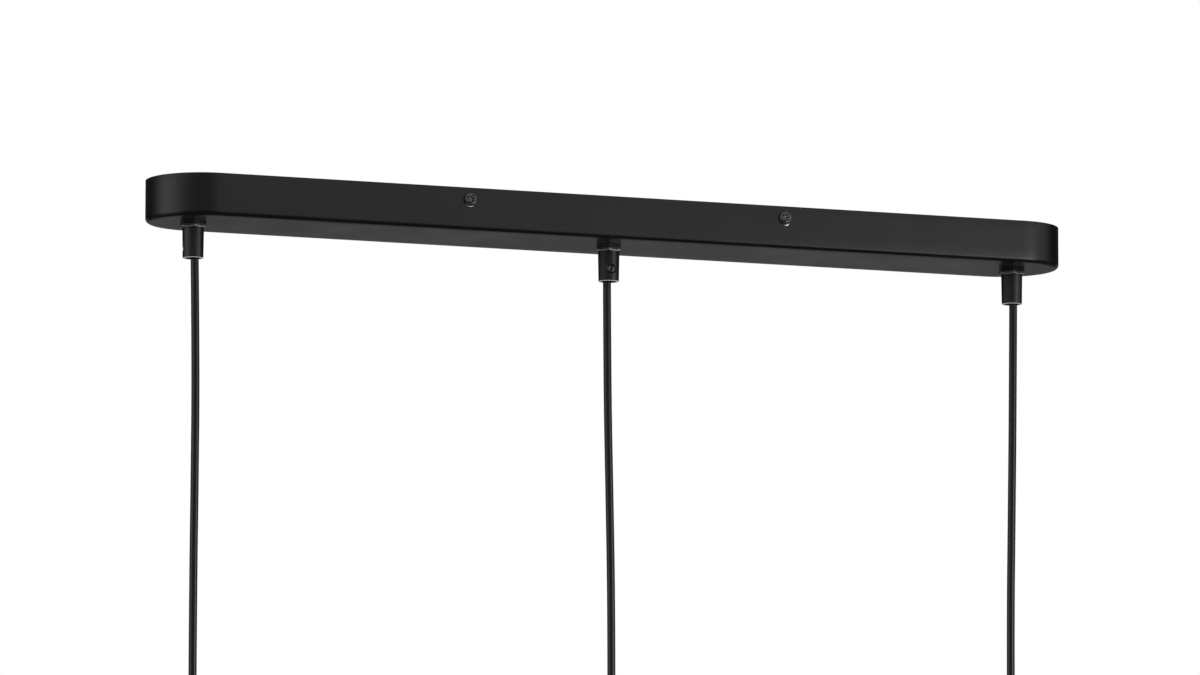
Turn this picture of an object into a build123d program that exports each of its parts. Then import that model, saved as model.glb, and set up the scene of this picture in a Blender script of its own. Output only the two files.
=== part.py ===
"""Linear island pendant: obround ceiling canopy, three cord grips, three cords with lampholders.

The origin is the centre of the ceiling face. +Z is up, X runs along the canopy, and the side
that the two front screws show on faces -Y.
"""
from build123d import *
from math import cos, pi, radians, sin, sqrt, tan
import os

# Canopy: a pressed steel pan, open towards the ceiling.
canopy_length = 600.0
canopy_width = 70.0
canopy_height = 26.0
canopy_sheet = 1.0
canopy_edge_radius = 2.5
drop_inset = 29.0

# Pan-head screws that hold the canopy to its bracket.
screw_spacing = 207.5
screw_depth = 7.4
screw_head_diameter = 8.0
screw_head_height = 2.5
screw_shank_diameter = 4.0
screw_length = 8.0
screw_hole_clearance = 0.2
thread_clearance = 0.05
recess_width = 4.6
recess_slot = 0.9
recess_depth = 1.5
head_bevel = 0.9
slot_width = 0.7
slot_depth = 0.8

# Ceiling bracket: a zinc-plated strip with four turned-down ears.
bracket_length = 260.0
bracket_width = 30.0
bracket_sheet = 1.5
ear_width = 16.0
ear_drop = 13.0
ear_bend_radius = 1.5
supply_hole_diameter = 22.0
ceiling_slot_spacing = 170.0
ceiling_slot_length = 22.0
ceiling_slot_width = 5.2
corner_radius = 4.0

# Threaded entry: nipple, washer and nuts, one set for each drop.
nipple_diameter = 9.9
nipple_bore = 7.6
nipple_above_nut = 1.7
nipple_in_grip = 7.8
washer_diameter = 16.0
washer_thickness = 0.8
inner_nut_flats = 14.0
inner_nut_height = 3.0
outer_nut_flats = 15.0
outer_nut_height = 3.4
nut_chamfer = 0.9
# Direction that one corner of each outer nut points in, left to right, in degrees.
nut_turns = [-101.7, -110.7, -103.2]

# Cord grip: a turned sleeve that hangs below the canopy.
grip_height = 18.6
grip_top_diameter = 13.3
grip_bottom_diameter = 12.7
grip_bore = 9.3
grip_thread_depth = 8.0
grip_rim_outer = 0.3
grip_rim_inner = 0.55
grip_screw_diameter = 5.0
grip_screw_below_top = 11.2
grip_screw_seat = 6.2
grip_seat_depth = 1.0
grip_slot_width = 1.0
# Direction that each grip's set screw faces, and how far it stands out of the sleeve.
grip_screw_turns = [168.0, -94.5, 90.0]
grip_screw_proud = [-0.2, -0.5, -0.4]

# Round two-core cord.
cord_diameter = 5.0
hanging_length = 270.0
core_diameter = 2.2
core_spacing = 2.6
copper_diameter = 1.1
copper_length = 6.0
sheath_top_depth = 13.0
running_gap = 0.3
swing_pivot_above_mouth = 3.0
neck_length = 3.4
# The set screw holds each cord a little out of the middle of its grip.
cord_offsets = [(1.1, 0.0), (-0.9, 0.6), (0.5, -0.95)]
# Route of each hanging cord: depth below the mouth, then x and y from the grip's axis.
# The last run hangs plumb over the lampholder.
cord_ways = [
    [(67.0, 2.4, 0.3), (137.0, 2.1, 0.2), (204.0, 1.5, 0.0)],
    [(66.0, -0.5, 0.9), (136.0, 0.9, 0.5), (205.0, 2.0, 0.0)],
    [(68.0, 0.0, -0.6), (138.0, -1.1, -0.5), (204.0, -2.0, 0.0)],
]

# Terminal block under the bracket, with its three brass sleeves.
block_x = 40.0
block_width = 33.0
block_length = 20.0
block_height = 13.0
block_corner_radius = 1.5
block_gap = 3.0
pole_pitch = 11.0
sleeve_width = 6.0
sleeve_length = 16.0
sleeve_height = 7.0
sleeve_bore = 4.2
entry_diameter = 6.0
terminal_screw_diameter = 3.0
terminal_screw_spacing = 9.0
terminal_screw_length = 3.4
well_clearance = 0.7
fixing_screw_diameter = 3.0
fixing_head_diameter = 5.4
fixing_head_height = 1.8
# Wires lie in lanes in front of the block, clear of each other in width and in height.
core_gap = 0.3
core_lead_in = 4.0
lane_inner = 18.0
lane_outer = 21.5
lane_left_depth = 12.0
lane_right_depth = 15.8
lane_middle_depth = 5.4
lane_lead_ins = [40.0, 0.0, 40.0]
# Direction from the outer core to the inner one at the top of each cord, in degrees.
core_pair_turns = [90.0, 0.0, 90.0]

# Earth connection on the bracket.
earth_x = 76.0
lug_diameter = 8.4
lug_thickness = 0.8
lug_barrel_diameter = 3.4
lug_barrel_length = 6.0
lug_neck_length = 1.5
lug_barrel_gap = 0.2
earth_washer_diameter = 8.0
earth_washer_thickness = 0.8
earth_head_diameter = 7.6
earth_head_height = 2.2
# Bends of the earth lead: how far in front of the block, and how far along and below each is.
earth_lead_ins = [6.0, 12.0, 13.0, 8.0]
earth_bend_shares = [0.3, 0.75]
earth_lead_sag = 1.2

# Lampholder with a threaded skirt and a shade ring.
relief_top_diameter = 9.5
relief_bottom_diameter = 13.5
relief_height = 12.0
relief_collar_diameter = 16.0
relief_collar_height = 4.0
relief_cord_depth = 2.0
relief_spigot_length = 5.0
cap_diameter = 40.0
cap_height = 25.0
cap_shoulder_radius = 12.0
cap_wall = 2.0
body_diameter = 39.0
body_wall = 3.6
body_height = 38.0
body_collar_diameter = 42.0
body_collar_height = 3.0
body_spigot_height = 6.0
carrier_height = 9.0
carrier_clearance = 0.15
carrier_seat_depth = 3.0
carrier_seat_ledge = 1.2
carrier_stem_length = 1.5
carrier_boss_diameter = 12.0
carrier_boss_height = 1.5
shell_inner_diameter = 26.8
shell_wall = 0.5
shell_height = 24.0
shell_shoulder_height = 6.0
shell_floor_diameter = 19.0
shell_floor_hole = 15.0
contact_width = 5.0
contact_length = 9.0
contact_sheet = 0.5
contact_rise = 3.0
ring_diameter = 57.0
ring_height = 8.0
ring_lip_height = 2.5
ring_grip_diameter = 50.0
ring_rib_count = 12
ring_rib_diameter = 3.6

# Levels and places that follow from the sizes above.
names = ["left", "middle", "right"]
drop_pitch = canopy_length / 2 - drop_inset
drop_places = [(-drop_pitch, 0.0), (0.0, 0.0), (drop_pitch, 0.0)]
floor_z = canopy_sheet - canopy_height
grip_top_z = -canopy_height - outer_nut_height
mouth_z = grip_top_z - grip_height
cord_end_z = mouth_z - hanging_length
wall_y = canopy_width / 2
inner_wall_y = wall_y - canopy_sheet
block_bottom_z = -bracket_sheet - block_height
pole_z = -bracket_sheet - block_height / 2
pole_x = [block_x - pole_pitch, block_x, block_x + pole_pitch]

os.makedirs("parts", exist_ok=True)


def save(solid, name):
    solid.label = name
    export_step(solid, f"parts/{name}.step")


def turned(*points):
    """Solid of revolution about Z from the corners (radius, z) of its half section."""
    with BuildPart() as body:
        with BuildSketch(Plane.XZ):
            with BuildLine():
                Polyline(*points, close=True)
            make_face()
        revolve(axis=Axis.Z)
    return body.part


def bend_radii(points):
    """Largest calm radius at each corner of a route: 0.45 of the shorter run over tan(turn / 2)."""
    spots = [Vector(*point) for point in points]
    radii = []
    for before, corner, after in zip(spots, spots[1:], spots[2:]):
        into, out = corner - before, after - corner
        half_turn = radians(into.get_angle(out)) / 2
        radii.append(0.45 * min(into.length, out.length) / tan(half_turn))
    return radii


def route_line(points):
    return FilletPolyline(*points, radius=bend_radii(points))


# Canopy.
with BuildPart() as canopy:
    with BuildSketch(Plane.XY.offset(-canopy_height)):
        SlotOverall(canopy_length, canopy_width)
    extrude(amount=canopy_height)
    fillet(canopy.faces().sort_by(Axis.Z)[0].edges(), canopy_edge_radius)
    offset(amount=-canopy_sheet, openings=canopy.faces().sort_by(Axis.Z)[-1])
    with BuildSketch(Plane.XY.offset(-canopy_height)):
        with Locations(*drop_places):
            Circle(nipple_diameter / 2 + screw_hole_clearance)
    extrude(amount=canopy_sheet, mode=Mode.SUBTRACT)
    with BuildSketch(Plane.XZ):
        with Locations((-screw_spacing / 2, -screw_depth), (screw_spacing / 2, -screw_depth)):
            Circle(screw_shank_diameter / 2 + screw_hole_clearance)
    extrude(amount=canopy_width, both=True, mode=Mode.SUBTRACT)
save(canopy.part, "canopy")

# Ceiling bracket: flat strip, two cross arms with turned-down ears, slots and tapped holes.
ear_reach = inner_wall_y
with BuildPart() as bracket:
    with BuildSketch(Plane.XY.offset(-bracket_sheet)):
        RectangleRounded(bracket_length, bracket_width, corner_radius)
    extrude(amount=bracket_sheet)
    with BuildSketch(Plane.YZ.offset(screw_spacing / 2), Plane.YZ.offset(-screw_spacing / 2)):
        with BuildLine():
            Polyline((-ear_reach, -ear_drop), (-ear_reach, 0), (ear_reach, 0), (ear_reach, -ear_drop))
            fillet(vertices().group_by(Axis.Y)[-1], ear_bend_radius + bracket_sheet)
            offset(amount=-bracket_sheet, side=Side.RIGHT, closed=True)
        make_face()
    extrude(amount=ear_width / 2, both=True)
    ear_tips = bracket.edges().filter_by(Axis.Y).group_by(Axis.Z)[0]
    fillet(ear_tips, corner_radius)
    with BuildSketch(Plane.XY.offset(-bracket_sheet)):
        Circle(supply_hole_diameter / 2)
        with Locations((-ceiling_slot_spacing / 2, 0), (ceiling_slot_spacing / 2, 0)):
            SlotOverall(ceiling_slot_length, ceiling_slot_width)
        with Locations((earth_x, 0)):
            Circle(screw_shank_diameter / 2 + thread_clearance)
        with Locations((block_x - pole_pitch / 2, 0)):
            Circle(fixing_screw_diameter / 2 + thread_clearance)
    extrude(amount=bracket_sheet, mode=Mode.SUBTRACT)
    with BuildSketch(Plane.XZ):
        with Locations((-screw_spacing / 2, -screw_depth), (screw_spacing / 2, -screw_depth)):
            Circle(screw_shank_diameter / 2 + thread_clearance)
    extrude(amount=canopy_width, both=True, mode=Mode.SUBTRACT)
save(bracket.part, "ceiling_bracket")


def pan_head_screw(head_diameter, head_height, shank_diameter, shank_length):
    """Pan-head screw along Z: the head's seat at z = 0, the head above it, a cross recess in it."""
    with BuildPart() as screw:
        with BuildSketch():
            Circle(head_diameter / 2)
        extrude(amount=head_height)
        chamfer(screw.edges().group_by(Axis.Z)[-1], head_bevel, 1.5 * head_bevel)
        with BuildSketch(Plane.XY.offset(head_height)):
            Rectangle(recess_width * head_diameter / screw_head_diameter, recess_slot)
            Rectangle(recess_slot, recess_width * head_diameter / screw_head_diameter)
        extrude(amount=-min(recess_depth, 0.6 * head_height), mode=Mode.SUBTRACT)
        with BuildSketch():
            Circle(shank_diameter / 2)
        extrude(amount=-shank_length)
        chamfer(screw.edges().group_by(Axis.Z)[0], 0.15 * shank_diameter)
    return screw.part


wall_screw = pan_head_screw(screw_head_diameter, screw_head_height, screw_shank_diameter, screw_length)
with BuildPart() as canopy_screws:
    for side in (-1, 1):
        with Locations(Plane((0, side * wall_y, -screw_depth), x_dir=(1, 0, 0), z_dir=(0, side, 0))):
            with Locations((-screw_spacing / 2, 0), (screw_spacing / 2, 0)):
                add(wall_screw)
save(canopy_screws.part, "canopy_screws")

# Threaded nipples, lock washers, inner nuts and outer nuts, one of each at every drop.
washer_top_z = floor_z + washer_thickness
inner_nut_top_z = washer_top_z + inner_nut_height
nipple_top_z = inner_nut_top_z + nipple_above_nut
nipple_bottom_z = grip_top_z - nipple_in_grip
nut_bore_radius = nipple_diameter / 2 + thread_clearance
with BuildPart() as nipples:
    with BuildSketch(Plane.XY.offset(nipple_bottom_z)):
        with Locations(*drop_places):
            Circle(nipple_diameter / 2)
            Circle(nipple_bore / 2, mode=Mode.SUBTRACT)
    extrude(amount=nipple_top_z - nipple_bottom_z)
save(nipples.part, "threaded_nipples")

with BuildPart() as washers:
    with BuildSketch(Plane.XY.offset(floor_z)):
        with Locations(*drop_places):
            Circle(washer_diameter / 2)
            Circle(nut_bore_radius, mode=Mode.SUBTRACT)
    extrude(amount=washer_thickness)
save(washers.part, "lock_washers")


def hex_nut(flats, height, z_chamfered, z_flat):
    """Hexagon nut with its corners turned off in a cone at the z_chamfered side."""
    corner = flats / sqrt(3)
    away = 1 if z_chamfered > z_flat else -1
    with BuildPart() as nut:
        with BuildSketch(Plane.XY.offset(min(z_chamfered, z_flat))):
            RegularPolygon(corner, 6)
        extrude(amount=height)
        with BuildSketch(Plane.XZ):
            with BuildLine():
                Polyline(
                    (0, z_flat), (corner, z_flat), (corner, z_chamfered - away * nut_chamfer / 2),
                    (flats / 2 - nut_chamfer / 2, z_chamfered), (0, z_chamfered), close=True,
                )
            make_face()
        revolve(axis=Axis.Z, mode=Mode.INTERSECT)
        with BuildSketch(Plane.XY.offset(min(z_chamfered, z_flat))):
            Circle(nut_bore_radius)
        extrude(amount=height, mode=Mode.SUBTRACT)
    return nut.part


inner_nut = hex_nut(inner_nut_flats, inner_nut_height, inner_nut_top_z, washer_top_z)
outer_nut = hex_nut(outer_nut_flats, outer_nut_height, grip_top_z, -canopy_height)
with BuildPart() as lock_nuts:
    with Locations(*drop_places):
        add(inner_nut)
save(lock_nuts.part, "lock_nuts")
with BuildPart() as outer_nuts:
    for place, turn in zip(drop_places, nut_turns):
        with Locations(place):
            add(outer_nut, rotation=(0, 0, turn))
save(outer_nuts.part, "outer_nuts")

# Cord grips: a tapered sleeve, tapped above for the nipple and open below for the cord.
grip_screw_z = grip_top_z - grip_screw_below_top
grip_thread_z = grip_top_z - grip_thread_depth
sleeve_grip = turned(
    (nut_bore_radius, grip_top_z), (grip_top_diameter / 2, grip_top_z),
    (grip_bottom_diameter / 2, mouth_z + grip_rim_outer),
    (grip_bottom_diameter / 2 - grip_rim_outer, mouth_z),
    (grip_bore / 2 + grip_rim_inner, mouth_z), (grip_bore / 2, mouth_z + grip_rim_inner),
    (grip_bore / 2, grip_thread_z), (nut_bore_radius, grip_thread_z),
)
sleeve_slope = (grip_top_diameter - grip_bottom_diameter) / grip_height
sleeve_radius = (grip_top_diameter - sleeve_slope * grip_screw_below_top) / 2
for name, place, turn in zip(names, drop_places, grip_screw_turns):
    outward = Plane(
        origin=(0, 0, grip_screw_z), x_dir=(0, 0, 1), z_dir=(cos(radians(turn)), sin(radians(turn)), 0)
    )
    with BuildPart() as cord_grip:
        add(sleeve_grip)
        with BuildSketch(outward):
            Circle(grip_screw_diameter / 2 + thread_clearance)
        extrude(amount=grip_top_diameter, mode=Mode.SUBTRACT)
        with BuildSketch(outward.offset(sleeve_radius - grip_seat_depth)):
            Circle(grip_screw_diameter / 2 + thread_clearance)
        with BuildSketch(outward.offset(sleeve_radius)):
            Circle(grip_screw_seat / 2)
        loft(mode=Mode.SUBTRACT)
    save(cord_grip.part.moved(Location((*place, 0))), f"cord_grip_{name}")

# Set screws, each from the held cord's side out through the sleeve.
with BuildPart() as grip_screws:
    for place, shift, turn, proud in zip(drop_places, cord_offsets, grip_screw_turns, grip_screw_proud):
        facing = (cos(radians(turn)), sin(radians(turn)))
        reach = shift[0] * facing[0] + shift[1] * facing[1]
        tip = reach + cord_diameter / 2
        axis = Plane(origin=(*place, grip_screw_z), x_dir=(0, 0, 1), z_dir=(*facing, 0))
        with BuildSketch(axis.offset(tip)):
            Circle(grip_screw_diameter / 2)
        extrude(amount=sleeve_radius + proud - tip)
        with BuildSketch(axis.offset(sleeve_radius + proud)):
            Rectangle(grip_slot_width, grip_screw_diameter)
        extrude(amount=-slot_depth, mode=Mode.SUBTRACT)
save(grip_screws.part, "grip_screws")

# Held stretch of each cord, and its two cores with bare tips in the terminal block.
pivot_z = mouth_z + swing_pivot_above_mouth
lower_pivot_z = pivot_z - neck_length
cord_radius = cord_diameter / 2
sheath_bottom_z = pivot_z + cord_radius + running_gap
for name, place, shift in zip(names, drop_places, cord_offsets):
    with BuildPart() as sheath:
        with BuildSketch(Plane.XY.offset(sheath_bottom_z)):
            with Locations((place[0] + shift[0], place[1] + shift[1])):
                Circle(cord_radius)
        extrude(amount=-sheath_top_depth - sheath_bottom_z)
    save(sheath.part, f"cord_sheath_{name}")

# Three cores share each pole: their centres lie on a small triangle about the pole's axis.
pack_radius = (core_diameter + core_gap) / sqrt(3)
pack_turns = [-150.0, 90.0, -30.0]
lane_depths = [lane_left_depth, lane_middle_depth, lane_right_depth]
sleeve_face_y = -sleeve_length / 2
entry_face_y = -block_length / 2
for index, name in enumerate(names):
    start_x = drop_places[index][0] + cord_offsets[index][0]
    start_y = drop_places[index][1] + cord_offsets[index][1]
    along = 1 if start_x < block_x else -1
    for colour, pole in (("brown", 0), ("blue", 1)):
        nearer = (colour == "brown") == (along == 1)
        lane_y = -lane_inner if nearer else -lane_outer
        apart = core_spacing / 2 if nearer else -core_spacing / 2
        core_x = start_x + apart * cos(radians(core_pair_turns[index]))
        core_y = start_y + apart * sin(radians(core_pair_turns[index]))
        pack_turn = radians(pack_turns[index])
        end_x = pole_x[pole] + pack_radius * cos(pack_turn)
        end_z = pole_z + pack_radius * sin(pack_turn)
        lane_z = -lane_depths[index]
        way = [
            (core_x, core_y, -sheath_top_depth),
            (core_x, core_y, -lane_middle_depth),
            (core_x + along * lane_lead_ins[index], lane_y, lane_z),
            (end_x, lane_y, lane_z),
            (end_x, entry_face_y - core_lead_in, end_z),
            (end_x, sleeve_face_y, end_z),
        ]
        with BuildPart() as core:
            with BuildLine():
                route_line(way)
            with BuildSketch(Plane(way[0], z_dir=(0, 0, 1))):
                Circle(core_diameter / 2)
            sweep()
            with BuildSketch(Plane(way[-1], x_dir=(1, 0, 0), z_dir=(0, 1, 0))):
                Circle(copper_diameter / 2)
            extrude(amount=copper_length)
        save(core.part, f"{colour}_core_{name}")

# Terminal block: moulded housing, open at both ends of each sleeve, with wells for its screws.
sleeve_low_z = pole_z - sleeve_height / 2
screw_wells = [(x, side * terminal_screw_spacing / 2) for x in pole_x for side in (-1, 1)]
with BuildPart() as block:
    with BuildSketch(Plane.XY.offset(block_bottom_z)):
        with Locations((block_x, 0)):
            Rectangle(block_width, block_length)
    extrude(amount=block_height)
    fillet(block.edges().filter_by(Axis.Z), block_corner_radius)
    with BuildSketch(Plane.XY.offset(block_bottom_z)):
        for gap_x in (block_x - pole_pitch / 2, block_x + pole_pitch / 2):
            for side in (-1, 1):
                with Locations((gap_x, side * block_length / 2)):
                    Rectangle(block_gap, block_length / 3)
    extrude(amount=block_height, mode=Mode.SUBTRACT)
    with BuildSketch(Plane.XZ.offset(sleeve_length / 2)):
        for x in pole_x:
            with Locations((x, pole_z)):
                Rectangle(sleeve_width, sleeve_height)
    extrude(amount=-sleeve_length, mode=Mode.SUBTRACT)
    with BuildSketch(Plane.XZ):
        for x in pole_x:
            with Locations((x, pole_z)):
                Circle(entry_diameter / 2)
    extrude(amount=block_length, both=True, mode=Mode.SUBTRACT)
    with BuildSketch(Plane.XY.offset(block_bottom_z)):
        with Locations(*screw_wells):
            Circle(terminal_screw_diameter / 2 + well_clearance)
    extrude(amount=sleeve_low_z - block_bottom_z, mode=Mode.SUBTRACT)
    with BuildSketch(Plane.XY.offset(block_bottom_z)):
        with Locations((block_x - pole_pitch / 2, 0)):
            Circle(fixing_screw_diameter / 2 + thread_clearance)
    extrude(amount=block_height, mode=Mode.SUBTRACT)
save(block.part, "terminal_block")

with BuildPart() as sleeves:
    with BuildSketch(Plane.XZ.offset(sleeve_length / 2)):
        for x in pole_x:
            with Locations((x, pole_z)):
                Rectangle(sleeve_width, sleeve_height)
                Circle(sleeve_bore / 2, mode=Mode.SUBTRACT)
    extrude(amount=-sleeve_length)
    with BuildSketch(Plane.XY.offset(sleeve_low_z)):
        with Locations(*screw_wells):
            Circle(terminal_screw_diameter / 2 + thread_clearance)
    extrude(amount=(sleeve_height - sleeve_bore) / 2 + well_clearance, mode=Mode.SUBTRACT)
save(sleeves.part, "terminal_sleeves")

with BuildPart() as terminal_screws:
    with BuildSketch(Plane.XY.offset(pole_z - sleeve_bore / 2)):
        with Locations(*screw_wells):
            Circle(terminal_screw_diameter / 2)
    extrude(amount=-terminal_screw_length)
    with BuildSketch(Plane.XY.offset(pole_z - sleeve_bore / 2 - terminal_screw_length)):
        with Locations(*screw_wells):
            Rectangle(slot_width, terminal_screw_diameter)
    extrude(amount=slot_depth, mode=Mode.SUBTRACT)
save(terminal_screws.part, "terminal_screws")

fixing_screw = pan_head_screw(
    fixing_head_diameter, fixing_head_height, fixing_screw_diameter, block_height + 0.8 * bracket_sheet
)
hanging = Location((block_x - pole_pitch / 2, 0, block_bottom_z), (180, 0, 0))
save(fixing_screw.moved(hanging), "terminal_fixing_screw")

# Earth connection: ring lug, washer and screw under the bracket, and the lead from its pole.
lug_z = -bracket_sheet - lug_thickness
washer_z = lug_z - earth_washer_thickness
barrel_z = -bracket_sheet - lug_barrel_diameter / 2 - lug_barrel_gap
barrel_start_y = -lug_diameter / 2 - lug_neck_length
barrel_end_y = barrel_start_y - lug_barrel_length
with BuildPart() as lug:
    with BuildSketch(Plane.XY.offset(lug_z)):
        with Locations((earth_x, 0)):
            Circle(lug_diameter / 2)
        with Locations((earth_x, (barrel_start_y - 1) / 2)):
            Rectangle(0.6 * lug_barrel_diameter, 1 - barrel_start_y)
        with Locations((earth_x, 0)):
            Circle(screw_shank_diameter / 2 + screw_hole_clearance, mode=Mode.SUBTRACT)
    extrude(amount=lug_thickness)
    with BuildSketch(Plane((earth_x, barrel_start_y, barrel_z), x_dir=(1, 0, 0), z_dir=(0, -1, 0))):
        Circle(lug_barrel_diameter / 2)
    extrude(amount=lug_barrel_length)
save(lug.part, "earth_lug")

with BuildPart() as earth_washer:
    with BuildSketch(Plane.XY.offset(washer_z)):
        with Locations((earth_x, 0)):
            Circle(earth_washer_diameter / 2)
            Circle(screw_shank_diameter / 2 + screw_hole_clearance, mode=Mode.SUBTRACT)
    extrude(amount=earth_washer_thickness)
save(earth_washer.part, "earth_washer")

earth_shank = earth_washer_thickness + lug_thickness + 0.8 * bracket_sheet
earth_screw = pan_head_screw(earth_head_diameter, earth_head_height, screw_shank_diameter, earth_shank)
save(earth_screw.moved(Location((earth_x, 0, washer_z), (180, 0, 0))), "earth_screw")

earth_pole_x = pole_x[2]
earth_bend_x = [earth_pole_x + share * (earth_x - earth_pole_x) for share in earth_bend_shares]
earth_way = [
    (earth_pole_x, sleeve_face_y, pole_z),
    (earth_pole_x, entry_face_y - earth_lead_ins[0], pole_z),
    (earth_bend_x[0], entry_face_y - earth_lead_ins[1], pole_z),
    (earth_bend_x[1], entry_face_y - earth_lead_ins[2], barrel_z - earth_lead_sag),
    (earth_x, entry_face_y - earth_lead_ins[3], barrel_z),
    (earth_x, barrel_end_y, barrel_z),
]
with BuildPart() as earth_lead:
    with BuildLine():
        route_line(earth_way)
    with BuildSketch(Plane(earth_way[0], x_dir=(1, 0, 0), z_dir=(0, -1, 0))):
        Circle(core_diameter / 2)
    sweep()
    with BuildSketch(Plane(earth_way[0], x_dir=(1, 0, 0), z_dir=(0, 1, 0))):
        Circle(copper_diameter / 2)
    extrude(amount=copper_length)
save(earth_lead.part, "earth_lead")

# Bending neck of each cord inside its grip's mouth, then the hanging stretch.
relief_top_z = cord_end_z + relief_cord_depth


def domed_cord(top_z, bottom_z):
    """Short straight cord whose top is a dome centred on top_z, so that it can swing there."""
    with BuildPart() as stub:
        with BuildSketch(Plane.XZ):
            with BuildLine():
                Line((0, bottom_z), (cord_radius, bottom_z))
                Line((cord_radius, bottom_z), (cord_radius, top_z))
                RadiusArc((cord_radius, top_z), (0, top_z + cord_radius), -cord_radius)
                Line((0, top_z + cord_radius), (0, bottom_z))
            make_face()
        revolve(axis=Axis.Z)
    return stub.part


neck = domed_cord(pivot_z, lower_pivot_z + cord_radius + running_gap)
for name, place, shift, way in zip(names, drop_places, cord_offsets, cord_ways):
    top_x, top_y = place[0] + shift[0], place[1] + shift[1]
    save(neck.moved(Location((top_x, top_y, 0))), f"cord_neck_{name}")
    points = [(top_x, top_y, lower_pivot_z)]
    points += [(place[0] + x, place[1] + y, mouth_z - depth) for depth, x, y in way]
    points.append((place[0] + way[-1][1], place[1] + way[-1][2], cord_end_z))
    radii = bend_radii(points)
    first_run = Vector(*points[1]) - Vector(*points[0])
    with BuildPart() as cord:
        with BuildLine() as line:
            route_line(points)
        with BuildSketch(Plane(points[0], z_dir=first_run)):
            Circle(cord_radius)
        sweep()
        length = sum(edge.length for edge in line.edges())
        fullness = cord.part.volume / (pi * cord_radius ** 2 * length)
        with Locations(Plane(points[0], z_dir=-first_run)):
            Sphere(cord_radius, arc_size1=0, align=(Align.CENTER, Align.CENTER, Align.MIN))
    print(f"cord_{name}: length {length:.1f}, radii {[round(radius) for radius in radii]},", end=" ")
    print(f"volume over section x length {fullness:.4f}")
    save(cord.part, f"cord_{name}")

# Lampholder, built once about its own axis and set below each cord.
collar_top_z = relief_top_z - relief_height
cap_top_z = collar_top_z - relief_collar_height
spigot_bottom_z = cap_top_z - relief_spigot_length
spigot_radius = nipple_diameter / 2
relief_bore_radius = cord_radius + thread_clearance
relief = turned(
    (0, cord_end_z), (relief_bore_radius, cord_end_z), (relief_bore_radius, relief_top_z),
    (relief_top_diameter / 2, relief_top_z), (relief_bottom_diameter / 2, collar_top_z),
    (relief_collar_diameter / 2, collar_top_z), (relief_collar_diameter / 2, cap_top_z),
    (spigot_radius, cap_top_z), (spigot_radius, spigot_bottom_z), (0, spigot_bottom_z),
)

cap_radius = cap_diameter / 2
cap_bottom_z = cap_top_z - cap_height
spigot_outer_radius = cap_radius - cap_wall
with BuildPart() as holder_cap:
    with BuildSketch(Plane.XY.offset(cap_bottom_z)):
        Circle(cap_radius)
    extrude(amount=cap_height)
    fillet(holder_cap.edges().group_by(Axis.Z)[-1], cap_shoulder_radius)
    offset(amount=-cap_wall, openings=holder_cap.faces().sort_by(Axis.Z)[0])
    with BuildSketch(Plane.XY.offset(cap_top_z)):
        Circle(spigot_radius + thread_clearance)
    extrude(amount=-cap_wall, mode=Mode.SUBTRACT)

body_radius = body_diameter / 2
body_bore_radius = body_radius - body_wall
body_bottom_z = cap_bottom_z - body_height
collar_bottom_z = cap_bottom_z - body_collar_height
spigot_top_z = cap_bottom_z + body_spigot_height
seat_z = cap_bottom_z - carrier_seat_depth
seat_radius = body_bore_radius + carrier_seat_ledge
holder_body = turned(
    (seat_radius, spigot_top_z), (spigot_outer_radius - thread_clearance, spigot_top_z),
    (spigot_outer_radius - thread_clearance, cap_bottom_z),
    (body_collar_diameter / 2, cap_bottom_z), (body_collar_diameter / 2, collar_bottom_z),
    (body_radius, collar_bottom_z), (body_radius, body_bottom_z),
    (body_bore_radius, body_bottom_z), (body_bore_radius, seat_z), (seat_radius, seat_z),
)

carrier_top_z = seat_z + carrier_height
carrier_face_z = seat_z - carrier_stem_length
boss_z = carrier_face_z - carrier_boss_height
contact_carrier = turned(
    (0, carrier_top_z), (seat_radius - carrier_clearance, carrier_top_z),
    (seat_radius - carrier_clearance, seat_z), (body_bore_radius - carrier_clearance, seat_z),
    (body_bore_radius - carrier_clearance, carrier_face_z),
    (carrier_boss_diameter / 2, carrier_face_z), (carrier_boss_diameter / 2, boss_z), (0, boss_z),
)

shell_radius = shell_inner_diameter / 2
shell_bottom_z = carrier_face_z - shell_height
shoulder_z = carrier_face_z - shell_shoulder_height
screw_shell = turned(
    (shell_floor_hole / 2, carrier_face_z), (shell_floor_diameter / 2, carrier_face_z),
    (shell_radius + shell_wall, shoulder_z), (shell_radius + shell_wall, shell_bottom_z),
    (shell_radius, shell_bottom_z), (shell_radius, shoulder_z),
    (shell_floor_diameter / 2 - shell_wall, carrier_face_z - shell_wall),
    (shell_floor_hole / 2, carrier_face_z - shell_wall),
)

# Centre contact: a spring tongue, flat on the boss at one end and bent down at the other.
with BuildPart() as centre_contact:
    with BuildSketch(Plane.XZ):
        with BuildLine():
            Polyline(
                (-contact_length / 2, boss_z), (0, boss_z), (contact_length / 4, boss_z - contact_rise),
                (contact_length / 2, boss_z - contact_rise),
            )
            offset(amount=contact_sheet, side=Side.RIGHT, closed=True)
        make_face()
    extrude(amount=contact_width / 2, both=True)

ring_bore_radius = body_radius + running_gap
ring_top_z = collar_bottom_z - running_gap
ring_lip_z = ring_top_z - ring_lip_height
ring_bottom_z = ring_top_z - ring_height
with BuildPart() as shade_ring:
    add(turned(
        (ring_bore_radius, ring_top_z), (ring_diameter / 2, ring_top_z),
        (ring_diameter / 2, ring_lip_z), (ring_grip_diameter / 2, ring_lip_z),
        (ring_grip_diameter / 2, ring_bottom_z), (ring_bore_radius, ring_bottom_z),
    ))
    with BuildSketch(Plane.XY.offset(ring_bottom_z)):
        with PolarLocations(ring_grip_diameter / 2, ring_rib_count):
            Circle(ring_rib_diameter / 2)
        Circle(ring_bore_radius, mode=Mode.SUBTRACT)
    extrude(amount=ring_height - ring_lip_height)

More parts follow.
